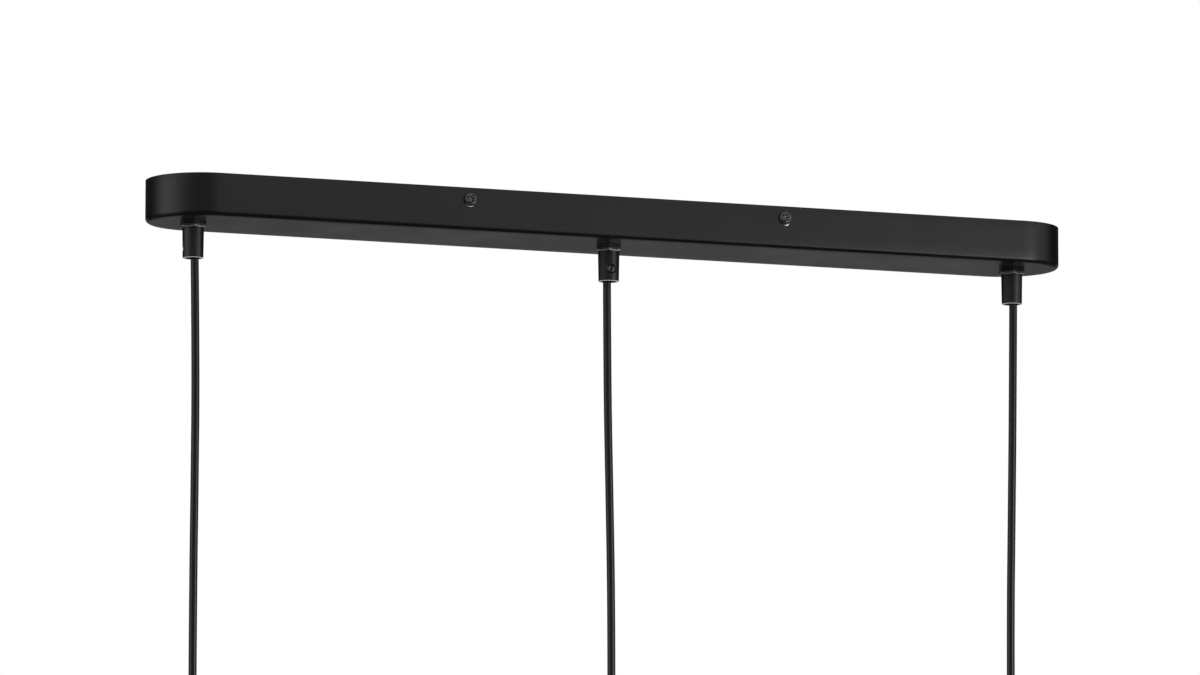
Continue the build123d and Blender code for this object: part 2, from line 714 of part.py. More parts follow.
holder_pieces = {
    "holder_relief": relief,
    "holder_cap": holder_cap.part,
    "holder_body": holder_body,
    "contact_carrier": contact_carrier,
    "screw_shell": screw_shell,
    "centre_contact": centre_contact.part,
    "shade_ring": shade_ring.part,
}
for name, place, way in zip(names, drop_places, cord_ways):
    below = Location((place[0] + way[-1][1], place[1] + way[-1][2], 0))
    for piece_name, solid in holder_pieces.items():
        save(solid.moved(below), f"{piece_name}_{name}")
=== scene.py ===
from math import cos, pi, radians, sin, sqrt, tan

import bmesh
import bpy
import numpy as np
from mathutils import Matrix, Vector


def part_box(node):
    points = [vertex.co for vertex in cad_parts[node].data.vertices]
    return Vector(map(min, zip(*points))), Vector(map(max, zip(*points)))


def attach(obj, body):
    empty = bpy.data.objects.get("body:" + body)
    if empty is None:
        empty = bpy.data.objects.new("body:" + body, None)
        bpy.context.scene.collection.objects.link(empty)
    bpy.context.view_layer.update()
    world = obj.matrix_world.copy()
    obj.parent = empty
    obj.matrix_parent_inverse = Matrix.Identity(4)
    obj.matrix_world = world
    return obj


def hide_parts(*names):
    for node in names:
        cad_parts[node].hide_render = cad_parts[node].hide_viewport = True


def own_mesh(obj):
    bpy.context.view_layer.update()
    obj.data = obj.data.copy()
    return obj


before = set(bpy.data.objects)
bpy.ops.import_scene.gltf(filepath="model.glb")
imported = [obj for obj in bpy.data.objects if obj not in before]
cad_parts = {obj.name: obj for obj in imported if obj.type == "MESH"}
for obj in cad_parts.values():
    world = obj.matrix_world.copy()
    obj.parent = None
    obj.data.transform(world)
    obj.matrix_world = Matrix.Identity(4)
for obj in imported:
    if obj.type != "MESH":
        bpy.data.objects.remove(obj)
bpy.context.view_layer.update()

MM = 0.001
NAMES = ("left", "middle", "right")


# ---------------- camera

PHOTO_WIDTH = 1200
FOCAL_PIXELS = 10000.0
CAMERA_DISTANCE = 6.1967
CAMERA_YAW = radians(20.72)
CAMERA_PITCH = radians(8.12)
CAMERA_ROLL = radians(0.05)
CAMERA_ACROSS = -0.0054
CAMERA_UP = -0.08203
SENSOR_WIDTH = 36.0
SIGHT_REACH = 100.0


def make_camera():
    """Long lens from the front left and below, as the photograph was taken."""
    across = Vector((cos(CAMERA_YAW), -sin(CAMERA_YAW), 0))
    level = Vector((sin(CAMERA_YAW), cos(CAMERA_YAW), 0))
    up = Vector((0, 0, 1))
    forward = level * cos(CAMERA_PITCH) + up * sin(CAMERA_PITCH)
    over = up * cos(CAMERA_PITCH) - level * sin(CAMERA_PITCH)
    right = across * cos(CAMERA_ROLL) + over * sin(CAMERA_ROLL)
    top = over * cos(CAMERA_ROLL) - across * sin(CAMERA_ROLL)
    data = bpy.data.cameras.new("camera")
    data.sensor_width = SENSOR_WIDTH
    data.lens = FOCAL_PIXELS * SENSOR_WIDTH / PHOTO_WIDTH
    data.clip_end = SIGHT_REACH
    camera = bpy.data.objects.new("camera", data)
    camera.location = right * CAMERA_ACROSS + top * CAMERA_UP - forward * CAMERA_DISTANCE
    turn = Matrix((right, top, -forward)).transposed()
    camera.rotation_euler = turn.to_euler()
    bpy.context.collection.objects.link(camera)
    bpy.context.scene.camera = camera


make_camera()
bpy.context.scene.view_settings.view_transform = "Standard"


# ---------------- shader groups


def new_group(name, inputs, outputs):
    """Empty shader node group; inputs and outputs are (name, socket kind, default)."""
    group = bpy.data.node_groups.new(name, "ShaderNodeTree")
    for label, kind, value in inputs:
        socket = group.interface.new_socket(label, in_out="INPUT", socket_type="NodeSocket" + kind)
        if value is not None:
            socket.default_value = value
    for label, kind in outputs:
        group.interface.new_socket(label, in_out="OUTPUT", socket_type="NodeSocket" + kind)
    source = group.nodes.new("NodeGroupInput")
    sink = group.nodes.new("NodeGroupOutput")
    return group, source, sink


def add_node(tree, kind, links=None, **settings):
    """Adds a node, sets its properties and sockets by name, and links sockets to it."""
    node = tree.nodes.new("ShaderNode" + kind)
    for key, value in settings.items():
        if hasattr(node, key):
            setattr(node, key, value)
        else:
            node.inputs[key.replace("_", " ")].default_value = value
    for key, socket in (links or {}).items():
        tree.links.new(socket, node.inputs[key])
    return node


def plug(tree, socket, value):
    """Links an output socket to the socket, or sets the socket to a number or an RGB triple."""
    if isinstance(value, bpy.types.NodeSocket):
        tree.links.new(value, socket)
    elif isinstance(value, tuple):
        socket.default_value = (*value, 1)
    else:
        socket.default_value = value


def math_node(tree, operation, first, second):
    """Math node on two sockets or numbers; returns its output socket."""
    node = tree.nodes.new("ShaderNodeMath")
    node.operation = operation
    plug(tree, node.inputs[0], first)
    plug(tree, node.inputs[1], second)
    return node.outputs[0]


def ramp_mask(tree, value, low, high):
    """0 at low, 1 at high, smooth between; low may be the larger, and both may be sockets."""
    node = tree.nodes.new("ShaderNodeMapRange")
    node.interpolation_type = "SMOOTHSTEP"
    for label, given in (("Value", value), ("From Min", low), ("From Max", high)):
        plug(tree, node.inputs[label], given)
    return node.outputs[0]


def mix_colours(tree, mask, first, second):
    """Mixes two colours, each a socket or an RGB triple, by a mask socket."""
    node = tree.nodes.new("ShaderNodeMix")
    node.data_type = "RGBA"
    plug(tree, node.inputs["Factor"], mask)
    for slot, value in (("A", first), ("B", second)):
        plug(tree, next(s for s in node.inputs if s.name == slot and s.type == "RGBA"), value)
    return next(s for s in node.outputs if s.type == "RGBA")


def make_grain_group():
    """Fine even grain: a height and a faint colour mask from two noises on Object coordinates."""
    group, source, sink = new_group(
        "fine_grain",
        [("Scale", "Float", 2500.0), ("Patch Scale", "Float", 40.0)],
        [("Height", "Float"), ("Patches", "Float")],
    )
    place = add_node(group, "TexCoord").outputs["Object"]
    for label, scale, detail in (("Height", "Scale", 2.0), ("Patches", "Patch Scale", 3.0)):
        links = {"Vector": place, "Scale": source.outputs[scale]}
        noise = add_node(group, "TexNoise", links, Detail=detail)
        group.links.new(noise.outputs["Fac"], sink.inputs[label])
    return group


def make_wear_group():
    """Edge wear: 1 where the surface bends outward sharply, broken up by noise."""
    group, source, sink = new_group(
        "edge_wear",
        [("Low", "Float", 0.6), ("High", "Float", 2.0), ("Break Up", "Float", 1.5),
         ("Scale", "Float", 700.0)],
        [("Mask", "Float")],
    )
    place = add_node(group, "TexCoord").outputs["Object"]
    bend = add_node(group, "Attribute", attribute_name="edge_bend").outputs["Fac"]
    noise = add_node(group, "TexNoise", {"Vector": place, "Scale": source.outputs["Scale"]}, Detail=3.0)
    sway = math_node(group, "MULTIPLY", math_node(group, "SUBTRACT", noise.outputs["Fac"], 0.5),
                     source.outputs["Break Up"])
    level = math_node(group, "MULTIPLY", bend, math_node(group, "ADD", sway, 1.0))
    mask = ramp_mask(group, level, source.outputs["Low"], source.outputs["High"])
    group.links.new(mask, sink.inputs["Mask"])
    return group


def make_scratch_group():
    """Fine scuffs: thin stretched noise streaks on Object coordinates."""
    group, source, sink = new_group(
        "fine_scuffs",
        [("Scale", "Float", 60.0), ("Amount", "Float", 0.5)],
        [("Mask", "Float")],
    )
    place = add_node(group, "TexCoord").outputs["Object"]
    stretch = add_node(group, "Mapping", {"Vector": place}, Rotation=(0.3, 0.5, 0.7),
                       Scale=(1.0, 14.0, 1.0))
    links = {"Vector": stretch.outputs[0], "Scale": source.outputs["Scale"]}
    noise = add_node(group, "TexNoise", links, Detail=4.0)
    streak = ramp_mask(group, noise.outputs["Fac"], 0.6, 0.72)
    mask = math_node(group, "MULTIPLY", streak, source.outputs["Amount"])
    group.links.new(mask, sink.inputs["Mask"])
    return group


GRAIN = make_grain_group()
WEAR = make_wear_group()
SCUFFS = make_scratch_group()


def use_group(tree, group, **values):
    """Places a shader group in a material and sets its named inputs."""
    node = tree.nodes.new("ShaderNodeGroup")
    node.node_tree = group
    for key, value in values.items():
        node.inputs[key.replace("_", " ")].default_value = value
    return node


def start_material(name, roughness, metallic=0.0, specular=0.5):
    """New material with a Principled shader; returns the material, its tree and the shader."""
    material = bpy.data.materials.new(name)
    material.use_nodes = True
    tree = material.node_tree
    shader = tree.nodes["Principled BSDF"]
    shader.inputs["Roughness"].default_value = roughness
    shader.inputs["Metallic"].default_value = metallic
    shader.inputs["Specular IOR Level"].default_value = specular
    return material, tree, shader


def add_bump(tree, shader, grain, strength, distance=0.00002):
    """Fine bump on the shader's normal, from a grain group's height."""
    links = {"Height": grain.outputs["Height"]}
    bumped = add_node(tree, "Bump", links, Strength=strength, Distance=distance)
    tree.links.new(bumped.outputs[0], shader.inputs["Normal"])


def grained(name, dark, light, roughness, grain_scale=2500.0, bump=0.1, patch_scale=40.0,
            roughness_swing=0.06, metallic=0.0, distance=0.00002):
    """Even finish: colour drifts between two close tones, with a fine bump and a roughness drift."""
    material, tree, shader = start_material(name, roughness, metallic)
    grain = use_group(tree, GRAIN, Scale=grain_scale, Patch_Scale=patch_scale)
    patches = ramp_mask(tree, grain.outputs["Patches"], 0.35, 0.65)
    tree.links.new(mix_colours(tree, patches, dark, light), shader.inputs["Base Color"])
    drift = math_node(tree, "MULTIPLY", math_node(tree, "SUBTRACT", patches, 0.5), roughness_swing)
    tree.links.new(math_node(tree, "ADD", drift, roughness), shader.inputs["Roughness"])
    add_bump(tree, shader, grain, bump, distance)
    return material


# Limits, in radians per millimetre, so high that no edge looks worn.
NO_WEAR = (30.0, 60.0)


def worn(name, coat_colour, rub_and_sheen_colour, bare_and_glint_colour, roughness, bare_roughness, wear=NO_WEAR,
         scuff=0.0, specular=0.5, bare_and_glint_metallic=1.0):
    """Black finish that is made lighter where the piece says so, partly worn thin by rubbing and
    partly a painted sheen, and through to bare metal where the piece has none and on edges whose
    bend goes from wear's first limit to its second. On edges the bare colour is wear; where the
    piece gives it, it is also a painted highlight, and a matt painted highlight has a metallic
    share below 1."""
    material, tree, shader = start_material(name, roughness, specular=specular)
    grain = use_group(tree, GRAIN, Scale=1800.0, Patch_Scale=420.0)
    edge = use_group(tree, WEAR, Low=wear[0], High=wear[1])
    scuffs = use_group(tree, SCUFFS, Scale=160.0, Amount=scuff)
    uneven = ramp_mask(tree, grain.outputs["Patches"], 0.25, 0.62)
    uneven = math_node(tree, "ADD", math_node(tree, "MULTIPLY", uneven, 0.6), 0.4)
    # Lighter finish where the piece marks it: partly worn thin by rubbing, partly painted light (a painted
    # sheen on screw heads and set screw faces, the lit lower part of the nuts).
    rub_and_sheen = add_node(tree, "Attribute", attribute_name="rub_and_sheen").outputs["Fac"]
    rub_and_sheen = math_node(tree, "MULTIPLY", rub_and_sheen, uneven)
    # Bare colour where the piece marks it: a painted highlight on the grips' mouths and the nuts' lower
    # creases, which are also worn there.
    bare = add_node(tree, "Attribute", attribute_name="bare_and_glint").outputs["Fac"]
    faint = math_node(tree, "MULTIPLY", scuffs.outputs["Mask"], 0.5)
    mask = math_node(tree, "MAXIMUM", edge.outputs["Mask"], faint)
    mask = math_node(tree, "MAXIMUM", mask, bare)
    finish = mix_colours(tree, rub_and_sheen, coat_colour, rub_and_sheen_colour)
    tree.links.new(mix_colours(tree, mask, finish, bare_and_glint_colour), shader.inputs["Base Color"])
    half = math_node(tree, "MULTIPLY", rub_and_sheen, 0.6)
    metal = math_node(tree, "MULTIPLY", mask, bare_and_glint_metallic)
    tree.links.new(math_node(tree, "MAXIMUM", metal, half), shader.inputs["Metallic"])
    worn_and_sheen_area = math_node(tree, "MAXIMUM", mask, rub_and_sheen)
    spread = math_node(tree, "MULTIPLY", worn_and_sheen_area, bare_roughness - roughness)
    tree.links.new(math_node(tree, "ADD", spread, roughness), shader.inputs["Roughness"])
    add_bump(tree, shader, grain, 0.08)
    return material


def striped(name, ground, stripe, across, roughness=0.45):
    """Wire insulation with stripes of a second colour: the crests of a wave on Object coordinates."""
    material, tree, shader = start_material(name, roughness)
    place = add_node(tree, "TexCoord").outputs["Object"]
    wave = add_node(tree, "TexWave", {"Vector": place}, Scale=across, Distortion=1.5, Detail=0.0)
    mask = ramp_mask(tree, wave.outputs["Fac"], 0.45, 0.55)
    tree.links.new(mix_colours(tree, mask, ground, stripe), shader.inputs["Base Color"])
    grain = use_group(tree, GRAIN, Scale=1500.0, Patch_Scale=60.0)
    add_bump(tree, shader, grain, 0.06)
    return material


def grey(tone):
    """Neutral colour of one tone."""
    return (tone, tone, tone)


POWDER_COAT = grained("black_powder_coat", grey(0.0014), grey(0.0024), 0.30, grain_scale=1500.0,
                      bump=0.10, patch_scale=18.0, roughness_swing=0.04, distance=0.00003)
# Its bare colour, near white and mostly matt, is the grips' mouth rings: a painted highlight over the worn
# edge.
BLACK_TURNED = worn("black_turned_metal", grey(0.0085), grey(0.05), (0.95, 0.94, 0.92), 0.34, 0.24,
                    bare_and_glint_metallic=0.1)
# Its second colour is the nuts' lit lower part, painted light; its bare colour is wear on edges and a
# painted highlight on the lower crease.
BLACK_NUT = worn("black_nut_finish", (0.0012, 0.0010, 0.0008), (0.080, 0.076, 0.073),
                 (0.60, 0.57, 0.54), 0.20, 0.32, wear=(1.4, 3.6), scuff=0.2, specular=0.15)
# Its second colour is the lighter grey of the heads' shoulder ring, a painted highlight.
BLACK_SCREW = worn("black_screw_steel", grey(0.0045), (0.09, 0.088, 0.085), (0.52, 0.49, 0.46),
                   0.26, 0.24, wear=(1.2, 3.4), scuff=0.2)
# Its second colour is the set screws' faces, painted lighter as the light they catch.
BLACK_SET_SCREW = worn("black_set_screw", grey(0.0012), (0.15, 0.145, 0.14), (0.5, 0.48, 0.45),
                       0.30, 0.24)
CORD_SHEATH = grained("black_pvc", grey(0.0014), grey(0.0024), 0.24, grain_scale=900.0, bump=0.05,
                      patch_scale=60.0, distance=0.00001)
BROWN_PVC = grained("brown_pvc", (0.13, 0.045, 0.016), (0.17, 0.06, 0.022), 0.42, 900.0, 0.08, 70.0)
BLUE_PVC = grained("blue_pvc", (0.018, 0.11, 0.42), (0.028, 0.15, 0.52), 0.42, 900.0, 0.08, 70.0)
EARTH_PVC = striped("green_yellow_pvc", (0.02, 0.28, 0.05), (0.75, 0.62, 0.02), 60.0)
BARE_STEEL = grained("bare_sheet_edge", (0.62, 0.61, 0.60), (0.80, 0.79, 0.78), 0.34, 900.0, 0.2, 300.0,
                     roughness_swing=0.1, metallic=1.0)
ZINC = grained("zinc_steel", (0.57, 0.57, 0.55), (0.64, 0.63, 0.60), 0.40, 500.0, 0.12, 90.0,
               roughness_swing=0.04, metallic=1.0)
TINNED = grained("tinned_copper", (0.62, 0.58, 0.52), (0.76, 0.73, 0.68), 0.32, 900.0, 0.1, 200.0,
                 roughness_swing=0.12, metallic=1.0)
BRASS = grained("brass", (0.66, 0.45, 0.16), (0.80, 0.58, 0.24), 0.26, 900.0, 0.06, 160.0,
                roughness_swing=0.14, metallic=1.0)
NYLON = grained("white_nylon", (0.70, 0.69, 0.64), (0.80, 0.79, 0.75), 0.5, 1200.0, 0.1, 80.0)
BLACK_NYLON = grained("black_nylon", grey(0.013), grey(0.018), 0.46, 1400.0, 0.16, 60.0)
PHENOLIC = grained("black_phenolic", (0.012, 0.0115, 0.011), (0.018, 0.017, 0.016), 0.27, 500.0, 0.05,
                   50.0, roughness_swing=0.1)
CERAMIC = grained("white_ceramic", (0.68, 0.65, 0.58), (0.78, 0.76, 0.70), 0.62, 1600.0, 0.3, 120.0)


# ---------------- surfaces

MERGE_DISTANCE = 1e-7
SLIVER_LENGTH = 1e-8
SHORTEST_GAP = 0.05


def mark_edges(mesh):
    """Stores how sharply the surface bends outward at each point, per millimetre, as edge_bend.

    Over each edge the bend is the angle between its two faces' normals over the distance between
    the faces' middles, signed by whether one middle lies behind the other face; a point takes the
    largest of its edges.
    """
    loops, count = len(mesh.loops), len(mesh.polygons)
    edge_of, sizes = np.zeros(loops, int), np.zeros(count, int)
    mesh.loops.foreach_get("edge_index", edge_of)
    mesh.polygons.foreach_get("loop_total", sizes)
    normals, middles = np.zeros(count * 3), np.zeros(count * 3)
    mesh.polygons.foreach_get("normal", normals)
    mesh.polygons.foreach_get("center", middles)
    normals, middles = normals.reshape(-1, 3), middles.reshape(-1, 3)
    ends = np.zeros(len(mesh.edges) * 2, int)
    mesh.edges.foreach_get("vertices", ends)
    face_of = np.repeat(np.arange(count), sizes)
    order = np.argsort(edge_of, kind="stable")
    edge_of, face_of = edge_of[order], face_of[order]
    pair = np.flatnonzero(edge_of[1:] == edge_of[:-1])
    first, second = face_of[pair], face_of[pair + 1]
    gap = middles[second] - middles[first]
    cosine = np.clip((normals[first] * normals[second]).sum(1), -1, 1)
    sign = -np.sign((normals[first] * gap).sum(1))
    bend = sign * np.arccos(cosine) / np.maximum(np.linalg.norm(gap, axis=1) / MM, SHORTEST_GAP)
    at = ends.reshape(-1, 2)[edge_of[pair]]
    value = np.zeros(len(mesh.vertices))
    np.maximum.at(value, at[:, 0], bend)
    np.maximum.at(value, at[:, 1], bend)
    mesh.attributes.new("edge_bend", "FLOAT", "POINT").data.foreach_set("value", value)


def finish_mesh(name, points, faces, material, slot_name, body, sharp=35.0):
    """Makes the piece: merges doubles, turns faces outward, shades it, and sets it on its body."""
    mesh = bpy.data.meshes.new(name)
    mesh.from_pydata(points.reshape(-1, 3).tolist(), [], faces)
    work = bmesh.new()
    work.from_mesh(mesh)
    bmesh.ops.remove_doubles(work, verts=work.verts, dist=MERGE_DISTANCE)
    bmesh.ops.dissolve_degenerate(work, edges=work.edges, dist=SLIVER_LENGTH)
    bmesh.ops.recalc_face_normals(work, faces=work.faces)
    work.to_mesh(mesh)
    work.free()
    mark_edges(mesh)
    mesh.shade_smooth()
    mesh.set_sharp_from_angle(angle=radians(sharp))
    mesh.materials.append(material)
    piece = bpy.data.objects.new(name, mesh)
    bpy.context.collection.objects.link(piece)
    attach(piece, body)
    return piece


def store(piece, label, value):
    """Stores a number per point that a finish reads; value is a function of x, y and z in mm."""
    place = np.zeros(len(piece.data.vertices) * 3)
    piece.data.vertices.foreach_get("co", place)
    x, y, z = place.reshape(-1, 3).T / MM
    piece.data.attributes.new(label, "FLOAT", "POINT").data.foreach_set("value", value(x, y, z))


def eased(value, low, high):
    """0 at low, 1 at high, smooth between."""
    share = np.clip((value - low) / (high - low), 0, 1)
    return share * share * (3 - 2 * share)


def grid_faces(rows, columns, first=0, wrap_rows=True):
    """Quads of a rows x columns grid of points, its last row joined to its first where it wraps."""
    row = np.arange(rows if wrap_rows else rows - 1)
    r, c = np.meshgrid(row, np.arange(columns - 1), indexing="ij")
    here, beyond = r * columns + c, (r + 1) % rows * columns + c
    quads = np.stack([here, beyond, beyond + 1, here + 1], -1)
    return (quads.reshape(-1, 4) + first).tolist()


def join_grids(grids, wrap_rows=True):
    """Points and quads of several grids of points, for one piece."""
    first, faces = 0, []
    for grid in grids:
        rows, columns = grid.shape[:2]
        faces += grid_faces(rows, columns, first, wrap_rows)
        first += rows * columns
    return np.vstack([grid.reshape(-1, 3) for grid in grids]), faces


def rounded(points, radii, steps=5):
    """Polyline in (radius, z) whose corners are turned by tangent arcs, in millimetres."""
    corners = np.array(points, float)
    out = [corners[0]]
    for before, corner, after, radius in zip(corners, corners[1:], corners[2:], radii):
        into, away = before - corner, after - corner
        into, away = into / np.linalg.norm(into), away / np.linalg.norm(away)
        half = np.arccos(np.clip(into @ away, -1, 1)) / 2
        if radius <= 0 or half > pi / 2 - 0.01:
            out.append(corner)
            continue
        middle = corner + (into + away) / np.linalg.norm(into + away) * radius / sin(half)
        start, end = corner + into * radius / tan(half), corner + away * radius / tan(half)
        a, b = start - middle, end - middle
        sweep = np.arccos(np.clip(a @ b / radius ** 2, -1, 1))
        turn = np.linspace(0, 1, steps + 1)[:, None]
        arc = (np.sin((1 - turn) * sweep) * a + np.sin(turn * sweep) * b) / sin(sweep)
        out.extend(middle + arc)
    out.append(corners[-1])
    return np.array(out)


def refined(profile, longest):
    """The same polyline with its long runs divided, so that no step is longer than asked."""
    pieces = []
    for a, b in zip(profile, profile[1:]):
        count = max(1, int(np.ceil(np.linalg.norm(b - a) / longest)))
        pieces.append(a + (b - a) * np.linspace(0, 1, count, endpoint=False)[:, None])
    return np.vstack(pieces + [profile[-1:]])


def turned_points(profile, centre, steps, radius_at):
    """Surface of revolution: point(turn, k) = centre + (r cos turn, r sin turn, z).

    r and z are the profile's k-th radius and height in millimetres, and radius_at(r, z, turn)
    changes r where the piece has threads, ribs, slots or a hole.
    """
    turn = np.arange(steps) / steps * 2 * pi
    turn, r = np.meshgrid(turn, profile[:, 0], indexing="ij")
    z = np.broadcast_to(profile[:, 1], r.shape)
    r = radius_at(r, z, turn)
    return np.stack([centre[0] + r * np.cos(turn), centre[1] + r * np.sin(turn), z], -1) * MM


def turned_piece(name, profile, centre, material, slot_name, body, steps, radius_at, sharp=35.0):
    """One turned piece, closed all round, on its body."""
    points = turned_points(profile, centre, steps, radius_at)
    faces = grid_faces(steps, len(profile))
    return finish_mesh(name, points, faces, material, slot_name, body, sharp)


# ---------------- sizes read from the frame

low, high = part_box("canopy")
CANOPY_LENGTH = (high[0] - low[0]) / MM
CANOPY_WIDTH = (high[1] - low[1]) / MM
CANOPY_HEIGHT = (high[2] - low[2]) / MM
SHEET = 1.0
EDGE_RADIUS = 2.5
RIM_RADIUS = 0.3


def middle_of(node):
    """X and Y of a node's middle, in millimetres."""
    low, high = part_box(node)
    return ((low[0] + high[0]) / 2 / MM, (low[1] + high[1]) / 2 / MM)


def span_of(node):
    """Highest and lowest z of a node, in millimetres."""
    low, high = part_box(node)
    return high[2] / MM, low[2] / MM


# ---------------- canopy


LONGEST_STEP = 6.0
END_STEPS = 72
SIDE_STEPS = 60


def make_canopy():
    """Pan of sheet steel: a wall profile carried round an obround.

    The point at a share of the way round and at a distance d from the straight spine is
    spine point + d x outward direction; the profile gives d and z, from the bottom's middle out
    over the turned edge, up the wall, over the rim and back down inside.
    """
    reach = CANOPY_WIDTH / 2
    inner = reach - SHEET
    bottom, floor = -CANOPY_HEIGHT, SHEET - CANOPY_HEIGHT
    outline = rounded(
        [(0, bottom), (reach, bottom), (reach, 0), (inner, 0), (inner, floor), (0, floor)],
        [EDGE_RADIUS, RIM_RADIUS, RIM_RADIUS, EDGE_RADIUS - SHEET], steps=8,
    )
    profile = refined(outline, LONGEST_STEP)
    half_spine = CANOPY_LENGTH / 2 - reach
    turn = np.linspace(-pi / 2, pi / 2, END_STEPS)
    along = np.linspace(half_spine, -half_spine, SIDE_STEPS)[1:-1]
    right_end, left_end = np.full(END_STEPS, half_spine), np.full(END_STEPS, -half_spine)
    back, front = np.full(len(along), pi / 2), np.full(len(along), -pi / 2)
    spine_x = np.concatenate([right_end, along, left_end, -along])
    angle = np.concatenate([turn, back, turn + pi, front])
    d, z = profile[:, 0], profile[:, 1]
    x = spine_x[:, None] + d * np.cos(angle)[:, None]
    y = d * np.sin(angle)[:, None]
    points = np.stack([x, y, np.broadcast_to(z, x.shape)], -1) * MM
    piece = finish_mesh("canopy_pan", points, grid_faces(len(angle), len(profile)), POWDER_COAT,
                        "black_powder_coat", "ceiling_unit", 50.0)
    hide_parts("canopy")


make_canopy()


# ---------------- wall screws

SCREW_X = 103.75
SCREW_Z = -7.4
HEAD_RADIUS = 4.2
HEAD_HEIGHT = 2.5
CROWN_RADIUS = 2.2
CROWN_FALL = 0.12
SHOULDER_HEIGHT = 0.75
SHANK_RADIUS = 2.0
SHANK_LENGTH = 8.0
SHANK_CHAMFER = 0.4
RECESS_REACH = 2.45
RECESS_HALF_WIDTH = 0.62
RECESS_DEPTH = 1.35
RECESS_TIP_SHARE = 0.55
# Radians, for the screws at the front left, front right, back left and back right.
RECESS_TURNS = (0.35, 0.15, 0.6, 0.9)


def screw_points(recess_turn, steps=144):
    """Pan-head screw along +z: height(r) of the head is a flat crown that falls off in a quarter
    ellipse, less a cross recess whose depth fades with the distance along and across its arms."""
    r_top = HEAD_RADIUS * np.linspace(0, 1, 44)
    fall = np.clip((r_top - CROWN_RADIUS) / (HEAD_RADIUS - CROWN_RADIUS), 0, 1)
    z_top = HEAD_HEIGHT - CROWN_FALL * (r_top / HEAD_RADIUS) ** 2
    z_top = z_top - (HEAD_HEIGHT - SHOULDER_HEIGHT) * (1 - np.sqrt(1 - fall ** 2))
    side = np.array([(HEAD_RADIUS, 0.4), (HEAD_RADIUS - 0.12, 0.1), (HEAD_RADIUS - 0.3, 0.0),
                     (SHANK_RADIUS, 0.0), (SHANK_RADIUS, -SHANK_LENGTH + SHANK_CHAMFER),
                     (SHANK_RADIUS - SHANK_CHAMFER, -SHANK_LENGTH), (0, -SHANK_LENGTH)])
    r = np.concatenate([r_top, side[:, 0]])
    z = np.concatenate([z_top, side[:, 1]])
    turn = np.arange(steps) / steps * 2 * pi
    turn, r = np.meshgrid(turn, r, indexing="ij")
    z = np.broadcast_to(z, r.shape).copy()
    x, y = r * np.cos(turn), r * np.sin(turn)
    u = x * cos(recess_turn) + y * sin(recess_turn)
    v = y * cos(recess_turn) - x * sin(recess_turn)

    def arm(along, across):
        length = np.clip((RECESS_REACH - np.abs(along)) / 0.5, 0, 1)
        width = np.clip((RECESS_HALF_WIDTH - np.abs(across)) / 0.16, 0, 1)
        fade = (1 - RECESS_TIP_SHARE) * (1 - np.abs(along) / RECESS_REACH)
        return length * width * (RECESS_TIP_SHARE + fade)

    depth = RECESS_DEPTH * np.maximum(arm(u, v), arm(v, u))
    top = np.arange(z.shape[1]) < len(r_top)
    z = np.where(top, z - depth, z)
    return np.stack([x, y, z], -1)


def make_wall_screws():
    """Four screws in the long walls, each head against the sheet and its shank inside."""
    places = ((-1, -SCREW_X), (-1, SCREW_X), (1, -SCREW_X), (1, SCREW_X))
    grids = []
    for recess_turn, (side, x) in zip(RECESS_TURNS, places):
        along, up, out = np.moveaxis(screw_points(recess_turn), -1, 0)
        grids.append(np.stack([x - side * along, side * (CANOPY_WIDTH / 2 + out), SCREW_Z + up], -1) * MM)
    piece = finish_mesh("wall_screws", *join_grids(grids), BLACK_SCREW, "black_screw_steel",
                        "ceiling_unit", 40.0)

    def shoulder(x, y, z):
        """Lighter grey round the head's shoulder, black in the middle and on the side: a painted highlight
        on the head's rounded rim, where the finish is also worn by rubbing.
        """
        r = np.hypot(np.abs(x) - SCREW_X, z - SCREW_Z)
        stands = np.abs(y) - CANOPY_WIDTH / 2
        return eased(r, 2.6, 3.2) * eased(r, HEAD_RADIUS - 0.02, HEAD_RADIUS - 0.25) * (stands > 0.7)

    store(piece, "rub_and_sheen", shoulder)
    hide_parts("canopy_screws")


make_wall_screws()


# Screw's x, side of the canopy, middle and half of the crescent's angle in degrees, its width.
BURRS = ((-SCREW_X, -1, -104.0, 48.0, 0.75), (SCREW_X, -1, -80.0, 34.0, 1.0),
         (-SCREW_X, 1, -95.0, 30.0, 0.4), (SCREW_X, 1, -85.0, 30.0, 0.4))
BURR_RADIUS = 3.75
BURR_LIFT = 0.16
BURR_SINK = 0.05


def make_hole_burrs():
    """Bright crescent of bare sheet at each screw hole's edge, below the head: its width falls off
    with the square of the angle from its middle, and its section is a low half sine."""
    around, over = np.linspace(-1, 1, 41), np.linspace(0, 1, 9)
    grids = []
    for x, side, middle, half, wide in BURRS:
        angle = radians(middle) + around * radians(half)
        width = wide * (1 - around ** 2) + 0.02
        radius = BURR_RADIUS + over[None, :] * (width[:, None] + 0.25)
        lift = BURR_LIFT * np.sin(over * pi)[None, :] * (width[:, None] / wide)
        grids.append(np.stack([
            x + radius * np.cos(angle)[:, None], side * (CANOPY_WIDTH / 2 - BURR_SINK + lift),
            SCREW_Z + radius * np.sin(angle)[:, None],
        ], -1) * MM)
    finish_mesh("screw_hole_burrs", *join_grids(grids, wrap_rows=False), BARE_STEEL, "zinc_steel",
                "ceiling_unit", 40.0)


make_hole_burrs()


# ---------------- nuts, nipples and grips

# Degrees, for the left, middle and right drop.
NUT_TURNS = (-101.7, -110.7, -103.2)
INNER_NUT_TURNS = (0, 20, -35)
GRIP_SCREW_TURNS = (168.0, -94.5, 90.0)
DROPS = [middle_of(f"cord_grip_{name}") for name in NAMES]
GRIP_TOP, MOUTH = span_of("cord_grip_middle")
CORD_RADIUS = 2.5
CORD_OFFSETS = ((1.1, 0.0), (-0.9, 0.6), (0.5, -0.95))

